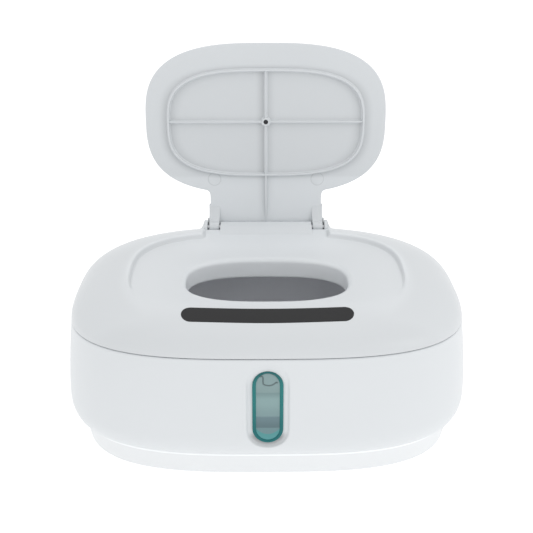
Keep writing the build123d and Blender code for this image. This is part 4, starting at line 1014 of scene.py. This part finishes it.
straight = STRIP_HALF - STRIP_R
along = -np.cos(np.linspace(0, np.pi, STRIP_STATIONS + 2)[1:-1]) * STRIP_HALF
half_width = np.sqrt(np.maximum(STRIP_R ** 2 - np.maximum(np.abs(along) - straight, 0) ** 2, 0.01))
bow = STRIP_BOW * (along / straight) ** 2
across = np.concatenate([[-1.0], np.linspace(-1, 1, STRIP_COLUMNS), [1.0]])
top_side = np.pad(np.ones(STRIP_COLUMNS, bool), 1)
v = half_width[:, None] * across + bow[:, None]
strip_x = np.broadcast_to(along[:, None], v.shape)
strip_y = STRIP_Y + v * cos(radians(STRIP_SLOPE))
from_edge = half_width[:, None] * (1 - np.abs(across))
rounding = STRIP_EDGE - np.sqrt(np.maximum(STRIP_EDGE ** 2 - np.maximum(STRIP_EDGE - from_edge, 0) ** 2, 0))
above = np.where(top_side, STRIP_PROUD - rounding, -STRIP_THICK)
strip_z = cover_height(strip_x, strip_y, 0.0) + above
strip = surface("strip_pad", np.stack([strip_x, strip_y, strip_z], axis=-1), caps=True)
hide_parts("grip_strip")

charcoal = Finish("strip_charcoal")
smear = charcoal.noise(60.0, detail=3.0)
charcoal.set(base_color=charcoal.mix(smear, (0.009, 0.009, 0.010), (0.016, 0.016, 0.017)),
             roughness=smear * 0.12 + 0.60)
charcoal.bump(charcoal.noise(1400.0, detail=2.0), 0.00006, 0.6)
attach(wear(strip, charcoal), "cover")
print("strip length", round(float(np.ptp(strip_x)), 1))

# %% [markdown]
# ## The level window
# A teal frame stands a little proud of its pocket. Its section is one rounded bead, carried round an
# oblong outline, and the bead is thinner at the top. Inside it sits a smoky lens. What shows behind a lens
# is hard to export, so the lens carries it as colour: the folded wipes as bands of painted light and shade,
# the shaded edge of the tub as a dark band of painted shade, and the tinted floor of the lens as a bright
# crescent.

# %% Window frame
window_slope = (wall_half(WINDOW_Z - 5) - wall_half(WINDOW_Z + 5)) / 10
window_y = -(wall_half(WINDOW_Z) - SIDE_TO_FRONT)


def on_window(x, z, depth):
    """Place on the window's plane at a depth below the wall."""
    y = window_y + (z - WINDOW_Z) * window_slope + depth
    return np.stack(np.broadcast_arrays(x, y, z), axis=-1)


# Each point of the upright oblong is a centre on its middle line and a direction of its own radius.
ARC_POINTS, SIDE_POINTS = 33, 11
THINNER_TOP, THINNER_FOOT = 0.52, 0.12  # shares by which the bead is thinner at the top and at the foot
reach = WINDOW_TALL - WINDOW_HALF
arc = np.linspace(0, np.pi, ARC_POINTS)
side = np.linspace(reach, -reach, SIDE_POINTS + 2)[1:-1]
directions = np.concatenate([arc, np.full(SIDE_POINTS, np.pi), arc + np.pi, np.full(SIDE_POINTS, 2 * np.pi)])
centres = np.concatenate([np.full(ARC_POINTS, reach), side, np.full(ARC_POINTS, -reach), -side])
aside, rising = np.cos(directions), np.sin(directions)
rim_share = 1 - THINNER_TOP * np.maximum(rising, 0) ** 2 - THINNER_FOOT * np.maximum(-rising, 0) ** 2
frame_section = [(0.0, 1.6), (0.0, 0.4), (0.05, 0.1), (0.2, -0.15), (0.5, -0.33), (0.9, -0.4), (1.4, -0.36),
                 (1.8, -0.22), (2.05, 0.0), (2.2, 0.3), (2.25, 0.8), (2.25, 1.6)]
frame_rows = []
for inset, depth in frame_section:
    radius = WINDOW_HALF - inset * rim_share
    frame_rows.append(on_window(radius * aside, WINDOW_Z + centres + radius * rising, depth))
window_ring = surface("window_ring", frame_rows, close_rows=True)
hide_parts("window_frame")

teal = Finish("window_teal")
# Painted shade: the frame's top and bottom ends are darker than its sides, the bottom most of all.
z = teal.axes()[2]
cloud = teal.noise(120.0, detail=2.0)
low_share = teal.ease(z, WINDOW_Z + 6.0, WINDOW_Z - 18.0)
side_teal = teal.mix(cloud, (0.016, 0.165, 0.165), (0.024, 0.195, 0.193))
shaded_end_teal = teal.mix(low_share, (0.018, 0.125, 0.130), (0.004, 0.108, 0.120))
ends = teal.ease(z, WINDOW_Z + 14.0, WINDOW_Z + WINDOW_TALL) + low_share * 0.6
teal.set(base_color=teal.mix(ends, side_teal, shaded_end_teal), roughness=cloud * 0.08 + 0.18,
         specular_ior_level=0.25)
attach(wear(window_ring, teal), "base")

# %% Lens
LENS_FACE = 0.25
LENS_DOME = 0.35
LENS_BACK = 1.5
LENS_INSET = 1.6        # the lens ends this far inside the frame's outer edge
LENS_HALF = WINDOW_HALF - LENS_INSET


def lens_depth(share):
    """Depth of the domed face, share of the way from the middle to the edge."""
    return LENS_FACE - LENS_DOME * (1 - share ** 2)


lens_levels = [(1, LENS_BACK)] + [(share, lens_depth(share)) for share in np.linspace(1, 0.04, 26)]
lens_z = centres + (WINDOW_HALF - LENS_INSET * rim_share) * rising
lens_rows = [on_window(LENS_HALF * aside * share, WINDOW_Z + lens_z * share, depth)
             for share, depth in lens_levels]
lens = surface("window_lens", lens_rows, caps=True)
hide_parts("sight_lens")

# %% What the lens shows
UPPER_WIPE_Z = 72.7     # painted shade darkens the upper wipe from here down to the fold
WIPES_TOP_Z = 66.0
FOLD_PALE_Z = 61.2      # painted light makes the folded stack palest here
FOLD_DIM_Z = (59.7, 51.7)   # and painted shade darkens it again between these heights
TUB_EDGE_HIGH_Z = 50.7
TUB_EDGE_LOW_Z = 43.4
CRESCENT_Z = 39.3
CRESCENT_RISE = 0.072   # the crescent's upper edge climbs with the square of x
RUFFLE_Z = (69.2, 72.2)     # its ruffle comes in between these heights
smoky = Finish("lens_smoky")
x, y, z = smoky.axes()
upper = smoky.mix(smoky.ease(z, UPPER_WIPE_Z, WIPES_TOP_Z), (0.240, 0.340, 0.345), (0.225, 0.318, 0.320))
fold = smoky.mix(smoky.ease(z, WIPES_TOP_Z, FOLD_PALE_Z), (0.185, 0.275, 0.280), (0.240, 0.355, 0.358))
fold = smoky.mix(smoky.ease(z, *FOLD_DIM_Z), fold, (0.205, 0.305, 0.315))
color = smoky.mix(smoky.ease(z, WIPES_TOP_Z + 0.25, WIPES_TOP_Z - 0.25), upper, fold)
# The dark band at the tub's edge is painted shade.
band = smoky.ease(z, TUB_EDGE_HIGH_Z, TUB_EDGE_LOW_Z)
band = smoky.mix(band, (0.140, 0.215, 0.240), (0.108, 0.172, 0.190))
color = smoky.mix(smoky.ease(z, TUB_EDGE_HIGH_Z + 0.7, TUB_EDGE_HIGH_Z - 0.7), color, band)
color = smoky.mix(smoky.ease(z, TUB_EDGE_LOW_Z + 0.3, TUB_EDGE_LOW_Z - 0.3), color, (0.150, 0.245, 0.262))
depth_in = x * x * CRESCENT_RISE + CRESCENT_Z - z
bright = smoky.mix(smoky.ease(depth_in, 1.0, 4.5), (0.085, 0.285, 0.290), (0.095, 0.320, 0.335))
color = smoky.mix(smoky.ease(depth_in, -0.35, 0.35), color, bright)
ruffle = smoky.noise(900.0, detail=3.0) * smoky.ease(z, *RUFFLE_Z)
color = smoky.mix(ruffle * 0.35, color, (0.205, 0.280, 0.290))
smoky.set(base_color=color, roughness=smoky.noise(150.0) * 0.06 + 0.12, specular_ior_level=0.3)
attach(wear(lens, smoky), "base")
print("lens", len(smoky.tree.nodes), "nodes")

# %% Torn edge of the topmost wipe
edge_points = np.array([(-4.6, 75.9), (-3.3, 76.3), (-2.7, 75.2), (-2.8, 73.0), (-2.6, 71.4), (-1.4, 70.7),
                        (0.6, 70.4), (2.6, 70.8), (4.0, 71.8), (4.9, 72.5), (5.8, 72.0)])
EDGE_R = 0.42
EDGE_FLAT = 0.35        # height of the line's section as a share of its width
knots = np.arange(len(edge_points))
fine = np.linspace(0, len(edge_points) - 1, 60)
shifts = np.linspace(-0.5, 0.5, 9)      # each point is a weighted mean of the line this far to both sides
weights = np.exp(-(shifts / 0.275) ** 2)
weights = weights / weights.sum()
edge_x, edge_z = [sum(weight * np.interp(fine + shift, knots, column)
                      for weight, shift in zip(weights, shifts)) for column in edge_points.T]
heading = np.arctan2(np.gradient(edge_z), np.gradient(edge_x))
ring_turn = np.linspace(0, 2 * np.pi, 10, endpoint=False)
thin = EDGE_R * np.minimum(1, np.minimum(fine, fine[-1] - fine) * 3 + 0.3)[:, None]
tube_x = edge_x[:, None] - np.sin(heading)[:, None] * np.cos(ring_turn) * thin
tube_z = edge_z[:, None] + np.cos(heading)[:, None] * np.cos(ring_turn) * thin
share = np.maximum(np.abs(tube_x) / LENS_HALF, np.abs(tube_z - WINDOW_Z) / WINDOW_TALL)
tube_depth = lens_depth(share) - np.sin(ring_turn) * thin * EDGE_FLAT
wipe_edge = surface("wipe_edge", on_window(tube_x, tube_z, tube_depth), caps=True)

# The line's dark colour is painted shade along the wipe's edge.
shadowed = Finish("wipe_edge")
shadowed.set(base_color=shadowed.mix(shadowed.noise(700.0), (0.085, 0.130, 0.135), (0.120, 0.170, 0.175)),
             roughness=shadowed.noise(300.0) * 0.1 + 0.3)
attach(wear(wipe_edge, shadowed), "base")

# %% [markdown]
# ## The lid
# The lid stands open, 95.5 degrees round from the recess. It is worked out in the hinge's own frame: ahead
# of the axis, and above it. Its panel is one closed form: a superellipse joined to a neck, flat inside, with
# rolled edges and a crowned outer face. The outline is given as a reach for every direction from the lid's
# middle, the greater of the superellipse and of the neck, with a soft maximum in the corner between them.

# %% Panel outline
OPEN_TURN = -95.5
NECK_HALF = 39.1
NECK_END = 1.5
LID_FACE = 4.2          # inner face above the axis
LID_EDGE_TOP = 7.0      # top of the side face
LID_CROWN = 2.8
LID_CROWN_WIDTH = 30.0
LID_EDGE_IN = 0.6
LID_EDGE_OUT = 1.1
NECK_FILLET = 5.0       # between the neck and the lid
NECK_ROUND = 3.0        # at the neck's own corners
MIDDLE_SHARE = 0.02     # share of the outline's reach at which the rings end and a pole takes over
at_lid = from_axis(OPEN_TURN)

corner_turns = [np.arctan2(-v, u) for u in (NECK_HALF, -NECK_HALF) for v in (72.0, 45.0)]
lid_turns = denser_columns(520, corner_turns, share=0.5, spread=0.10)


def lid_reach(turns, inset=0.0):
    """Reach of the lid's outline in each direction from its middle, drawn in by inset."""
    c, s = np.cos(turns), np.sin(turns)
    half_x, half_y = LID_HALF_X - inset, LID_HALF_Y - inset
    oval = ((np.abs(c) / half_x) ** LID_POWER + (np.abs(s) / half_y) ** LID_POWER) ** (-1 / LID_POWER)
    side = (NECK_HALF - inset) / np.maximum(np.abs(c), 1e-6)
    end = (LID_CENTRE - NECK_END - inset) / np.maximum(-s, 1e-6)
    neck = np.where(s < 0, soft_min(side, end, NECK_ROUND), 0.0)
    return soft_max(oval, neck, NECK_FILLET)


print("the lid reaches", round(float(lid_reach(lid_turns).max()), 1), "mm from its middle")

# %% Rings of the panel
def crown(x, v):
    """Height of the outer face over its edge: a quarter ellipse over the outermost 30 mm."""
    within = np.clip(-outside(x, v, LID_HALF_X, LID_HALF_Y, LID_POWER), 0, LID_CROWN_WIDTH)
    return LID_CROWN * np.sqrt(np.maximum(1 - (1 - within / LID_CROWN_WIDTH) ** 2, 0))


def lid_ring(share, inset, height):
    """One ring of the panel: share of the outline's reach, at a height above the axis."""
    reach = lid_reach(lid_turns, inset) * share
    x, v = reach * np.cos(lid_turns), reach * np.sin(lid_turns)
    return x, v, np.broadcast_to(height, x.shape)

# %% Panel
lid_rings = [lid_ring(share, LID_EDGE_IN, LID_FACE) for share in np.linspace(MIDDLE_SHARE, 1, 16)[:-1]]
lid_rings += [lid_ring(1, inset, LID_FACE + rise) for inset, rise in round_over(LID_EDGE_IN, 6)]
lid_rings += [lid_ring(1, inset, LID_EDGE_TOP - drop) for inset, drop in round_over(LID_EDGE_OUT, 7)[::-1]]
for share in np.maximum(np.cos(np.linspace(0, np.pi / 2, 40)[1:]), MIDDLE_SHARE):
    x, v, height = lid_ring(share, LID_EDGE_OUT, LID_EDGE_TOP)
    lid_rings.append((x, v, height + crown(x, v)))
x, v, height = np.array(lid_rings).transpose(1, 0, 2)
middles = [at_lid(0.0, LID_CENTRE, LID_FACE), at_lid(0.0, LID_CENTRE, LID_EDGE_TOP + LID_CROWN)]
panel = surface("lid_panel", at_lid(x, LID_CENTRE + v, height), poles=middles)
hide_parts("lid_frame", "lid_skin")

# %% [markdown]
# ## What stands on the lid's inner face
# A thin ring seals round the opening, with two ribs across it, and a third runs down the neck. In the middle
# is a boss with a sunk screw. Each wall has a rounded crest and a small fillet at its foot, because that is
# where the soft shading of a real moulding comes from.

# %% Ring
RING_HALF_X = 67.3
RING_HALF_Y = 36.3
RING_CENTRE = 72.9
BOSS_CENTRE = 74.0      # the boss and its cross rib stand a little farther out than the ring's middle
RING_POWER = 3.1
RING_WALL = 1.1
CREST = 1.6
CREST_ROUND = 0.35
FOOT_FILLET = 0.8
SUNK = 0.5


def wall_section(crest, wall):
    """Section across a thin wall: (inset from its outer side, height above the axis)."""
    outer = [(-FOOT_FILLET, LID_FACE + SUNK)]
    outer += [(-inset, LID_FACE - drop) for inset, drop in round_over(FOOT_FILLET, 5)]
    outer += [(inset, crest + rise) for inset, rise in round_over(CREST_ROUND, 4)[::-1]]
    return outer + [(wall - inset, height) for inset, height in outer[::-1]]


ring_turns = np.linspace(0, 2 * np.pi, 360, endpoint=False)
ring_rows = []
for inset, height in wall_section(CREST, RING_WALL):
    x, v = superellipse(RING_HALF_X - inset, RING_HALF_Y - inset, RING_POWER, ring_turns)
    ring_rows.append(at_lid(x, RING_CENTRE + v, height))
ring = surface("lid_ring", ring_rows, close_rows=True)

# %% Ribs
RIB_CREST = CREST + 0.4
RIB_HALF = 0.55
NECK_RIB_FOOT = 17.0    # the neck's rib starts to fall here
NECK_RIB_END = 2.6
BOSS_MEET = 2.3         # the ribs end this far from the boss's middle
RIB_LAP = 0.6           # and this far inside the ring
rib_section = np.array(wall_section(RIB_CREST, 2 * RIB_HALF)) - (RIB_HALF, 0)


def across_lid(x, width, height):
    """Rib along x: its width runs ahead of the axis."""
    return at_lid(x, BOSS_CENTRE + width, height)


def along_lid(length, width, height):
    """Rib that runs ahead of the axis: its width runs along x."""
    return at_lid(width, BOSS_CENTRE + length, height)


rib_end = RING_HALF_X - RIB_LAP
near_end, far_end = (RING_CENTRE + side * (RING_HALF_Y - RIB_LAP) for side in (-1, 1))
ribs = [prism(f"lid_rib_{place}", rib_section, low, high, to_place, bevel=0.05)
        for place, low, high, to_place in (("left", -rib_end, -BOSS_MEET, across_lid),
                                           ("right", BOSS_MEET, rib_end, across_lid),
                                           ("near", near_end - BOSS_CENTRE, -BOSS_MEET, along_lid),
                                           ("far", BOSS_MEET, far_end - BOSS_CENTRE, along_lid))]
neck_loop = rounded_loop([(near_end, LID_FACE + SUNK, 0.1), (near_end, RIB_CREST, 0.1),
                          (NECK_RIB_FOOT, RIB_CREST, 1.0), (NECK_RIB_END, LID_FACE - 0.1, 0.4),
                          (NECK_RIB_END, LID_FACE + SUNK, 0.1)])
neck_rib = prism("lid_rib_neck", neck_loop, -RIB_HALF, RIB_HALF, at_lid, bevel=0.25)

# %% Boss, plugs and screw
BOSS_R = 2.8
BOSS_HOLE_R = 1.6
PLUG_R = 4.3
PLUG_X = 36.0
PLUG_AHEAD = 33.8
PLUG_PROUD = 0.15
PLUG_LET_IN = 0.6
lid_up = at_lid(0.0, 0.0, -1.0) - at_lid(0.0, 0.0, 0.0)
boss_profile = [(BOSS_R + FOOT_FILLET, -LID_FACE - SUNK)]
boss_profile += [(BOSS_R + inset, -LID_FACE + drop) for inset, drop in round_over(FOOT_FILLET, 5)]
boss_profile += [(BOSS_R - inset, -CREST - rise) for inset, rise in round_over(0.4, 5)[::-1]]
boss_profile += [(BOSS_HOLE_R + inset, -CREST - rise) for inset, rise in round_over(0.3, 4)]
boss_profile += [(BOSS_HOLE_R, -LID_FACE + 0.7)]
boss = turned("lid_boss", boss_profile, [at_lid(0.0, BOSS_CENTRE, 0.0)], axis=lid_up)
plug_profile = rounded_disc(PLUG_R, -LID_FACE - PLUG_LET_IN, -LID_FACE + PLUG_PROUD, 0.12, 4)
plug_places = [at_lid(x, PLUG_AHEAD, 0.0) for x in (-PLUG_X, PLUG_X)]
plugs = turned("lid_plug_discs", plug_profile, plug_places, axis=lid_up)
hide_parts("lid_plugs")

# %% Arms
KNUCKLE_R = 4.3
ARM_INNER = 32.4
ARM_OUTER = 40.0
ARM_TOP = 15.5          # the arm's face has run back into the lid this far ahead of the axis
ARM_CURVE = 1.5
ARM_SLANT = 0.077       # its inner side leans outwards by this share
ARM_LEAN_FROM = 10.0    # from this far ahead of the axis on towards it
arm_ahead = np.linspace(ARM_TOP, KNUCKLE_R, 26)[:-1]
arm_above = (LID_FACE + 0.1) * (1 - ((ARM_TOP - arm_ahead) / (ARM_TOP - KNUCKLE_R)) ** ARM_CURVE)
knuckle = on_circle(KNUCKLE_R, -np.linspace(0, 225, 34))
arm_loop = np.concatenate([np.stack([arm_ahead, arm_above], axis=-1), knuckle,
                           [(-0.5, 6.0), (1.5, 6.6), (ARM_TOP, 6.6)]])


def slanted(x, ahead, above):
    """Place on an arm, whose inner side leans outwards towards the axis."""
    inner_share = (ARM_OUTER - np.abs(x)) / (ARM_OUTER - ARM_INNER)
    lean = ARM_SLANT * np.maximum(ARM_LEAN_FROM - ahead, 0) * inner_share
    return at_lid(x + np.sign(x) * lean, ahead, above)


arms = pair("lid_arm", arm_loop, ARM_INNER, ARM_OUTER, slanted, bevel=0.6)

# %% The lid's finish
LID_DEPTH = 0.26        # how much darker the painted shade makes the deepest corners beside the walls
lid_cos, lid_sin = cos(radians(OPEN_TURN)), sin(radians(OPEN_TURN))


def beside_walls(finish):
    """Painted shade beside the ring and the ribs, where their walls keep the light away, most on the left of
    the upright ribs, and over the whole inside of the ring; painted light over the neck; and a dark joint
    round each plug. The ring's r is 1 on its outline: (|x/a|^p + |v/b|^p)^(1/p)."""
    x, y, z = finish.axes()
    ahead = (y - HINGE_Y) * -lid_cos + (z - HINGE_Z) * -lid_sin
    above = (y - HINGE_Y) * -lid_sin + (z - HINGE_Z) * lid_cos
    inner_face = finish.ease(above, LID_FACE + 1.4, LID_FACE + 0.6)
    u, v = abs(x) / RING_HALF_X, abs(ahead - RING_CENTRE) / RING_HALF_Y
    r = (u ** RING_POWER + v ** RING_POWER) ** (1 / RING_POWER)
    within = finish.ease(r, 1.0, 0.97)
    outer = finish.ease(r, 1.11, 1.0) * finish.ease(r, 0.97, 1.0) * 0.6
    inner = finish.ease(r, 0.86, 0.97) * 0.35 + 0.12
    upright = finish.ease(x, -7.5, -0.8) * finish.ease(x, 0.3, -0.3) * 0.7
    upright = upright + finish.ease(x, 7.0, 0.8) * finish.ease(x, -0.3, 0.3) * 0.35
    level = finish.ease(abs(ahead - BOSS_CENTRE), 5.0, 0.8) * 0.25
    neck = finish.ease(ahead, 37.0, 34.0)
    gap = abs(x) - PLUG_X
    drop = ahead - PLUG_AHEAD
    from_plug = (gap * gap + drop * drop) ** 0.5 - (PLUG_R + 0.1)
    plug_gap = finish.ease(abs(from_plug), 0.5, 0.1)
    shaded = within * (inner + upright + level) + outer + neck * (upright * 0.4 - 0.3) + plug_gap * 0.5
    return shaded * inner_face


# lid_shaded carries the painted shade and painted light of the lid's inner face.
lid_shaded = satin_plastic("lid_shaded", LID_COLOR, spots=beside_walls, depth=LID_DEPTH)
for piece in [panel, ring, *ribs, neck_rib, boss, plugs, *arms]:
    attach(wear(piece, lid_shaded if piece in (panel, plugs) else lid_white), "lid")

# %% [markdown]
# ## What lies inside
# The tub, the heater, the board and the screws keep the frame's own shapes and only get a finish. Each
# finish shows how its part is made: the tub's matt mould texture, the rolled grain of the heat plate, the
# etched track of the heater film, the cells of the foam and the copper runs of the board.

# %% Dressing a frame piece
def dress(finish, *nodes):
    """Puts a finish into the material slots of frame pieces."""
    for name in nodes:
        for place in frame["nodes"][name].material_slots:
            place.material = finish.material


def plain_stuff(name, darker, lighter, roughness, scale, grain):
    """Matt stuff: two close colours mixed by noise, uneven roughness and a raised grain."""
    finish = Finish(name)
    cloud = finish.noise(scale, detail=3.0)
    finish.set(base_color=finish.mix(cloud, darker, lighter), roughness=cloud * 0.12 + (roughness - 0.06))
    finish.bump(finish.noise(grain, detail=2.0), 0.00005, 0.6)
    return finish


def metal(name, base, roughness, run):
    """Rolled or turned metal: noise drawn out along one axis is both its grain and its uneven gloss."""
    finish = Finish(name)
    place = {"Vector": finish.place(), "Scale": run}
    drawn = finish.node("ShaderNodeMapping", {"vector_type": "POINT"}, place)
    grain = finish.node("ShaderNodeTexNoise", inputs={"Vector": drawn, "Scale": 1.0, "Detail": 3.0})
    color = finish.mix(grain, shade(base, 0.88), base)
    finish.set(base_color=color, roughness=grain * 0.2 + (roughness - 0.1), metallic=1.0)
    finish.bump(grain, 0.00003, 0.5)
    return finish

# %% Moulded stuffs and metals
# Name, darker and lighter colour, roughness, clouds and grains to the metre, and the pieces made of it.
STUFFS = (
    ("tub_grey", (0.88, 0.89, 0.92), (0.92, 0.93, 0.96), 0.62, 25.0, 1500.0, "inner_tub"),
    ("liner_white", (0.70, 0.72, 0.74), (0.75, 0.77, 0.79), 0.6, 18.0, 1200.0, "cover_liner"),
    ("sleeve_rubber", (0.40, 0.44, 0.44), (0.46, 0.50, 0.50), 0.7, 60.0, 800.0, "window_sleeve"),
    ("connector_nylon", (0.62, 0.60, 0.54), (0.70, 0.68, 0.62), 0.45, 80.0, 1500.0, "board_connector"),
    ("chip_epoxy", (0.012, 0.012, 0.014), (0.022, 0.022, 0.024), 0.5, 200.0, 2500.0, "board_regulator",
     "board_capacitor"),
    ("fuse_ceramic", (0.52, 0.48, 0.36), (0.60, 0.56, 0.44), 0.55, 300.0, 1800.0, "thermal_fuse"),
    ("jack_black", (0.010, 0.010, 0.012), (0.018, 0.018, 0.020), 0.38, 150.0, 1600.0, "dc_jack"),
    ("lead_sleeve", (0.36, 0.035, 0.028), (0.44, 0.050, 0.040), 0.4, 120.0, 700.0, "heater_leads",
     "thermostat_leads"),
)
# Name, colour, roughness, grains to the metre along each axis, and the pieces made of it.
METALS = (
    ("plate_aluminium", (0.80, 0.81, 0.82), 0.38, (30.0, 1400.0, 1400.0), "heat_plate"),
    ("thermostat_can", (0.62, 0.62, 0.63), 0.34, (500.0, 500.0, 60.0), "thermostat"),
    ("zinc_screw", (0.56, 0.57, 0.60), 0.36, (900.0, 900.0, 300.0), "base_screws", "liner_screws"),
    ("hinge_pin", (0.60, 0.60, 0.62), 0.28, (40.0, 1600.0, 1600.0), "hinge_pins"),
    ("oxide_screw", (0.060, 0.060, 0.065), 0.45, (900.0, 300.0, 900.0), "lid_screw"),
)
for name, darker, lighter, roughness, scale, grain, *nodes in STUFFS:
    dress(plain_stuff(name, darker, lighter, roughness, scale, grain), *nodes)
for name, base, roughness, run, *nodes in METALS:
    dress(metal(name, base, roughness, run), *nodes)
print("moulded stuffs", len(STUFFS), "metals", len(METALS))

# %% Heater film and its pad
TRACK_PITCH = 6.0       # the heating track runs to and fro at this pitch
film = Finish("heater_film")
track = film.ease(film.lanes(film.axes()[0], TRACK_PITCH), TRACK_PITCH * 0.20, TRACK_PITCH * 0.26)
film.set(base_color=film.mix(track, (0.48, 0.19, 0.05), (0.66, 0.30, 0.08)),
         roughness=film.noise(80.0) * 0.1 + 0.3)
film.bump(track, 0.00008)
dress(film, "heater_film")

foam = Finish("pad_foam")
cells = foam.node("ShaderNodeTexVoronoi", inputs={"Vector": foam.place(), "Scale": 900.0})
foam.set(base_color=foam.mix(cells, (0.060, 0.064, 0.070), (0.115, 0.120, 0.130)),
         roughness=foam.noise(200.0) * 0.1 + 0.85)
foam.bump(cells, 0.0003)
dress(foam, "insulation_pad")
print("film", len(film.tree.nodes), "nodes, pad", len(foam.tree.nodes))

# %% Board
TRACE_PITCH = 2.5
board = Finish("board_green")
lane = board.lanes(board.axes()[0] + board.noise(60.0) * 4.0, TRACE_PITCH)
trace = board.ease(lane, TRACE_PITCH * 0.16, TRACE_PITCH * 0.22)
board.set(base_color=board.mix(trace, (0.020, 0.140, 0.060), (0.012, 0.082, 0.038)),
          roughness=trace * 0.1 + 0.25)
board.bump(trace, 0.00004)
dress(board, "control_board")
shown = [name for name, node in frame["nodes"].items() if not node.hide_render]
print("frame pieces dressed and shown:", len(shown))
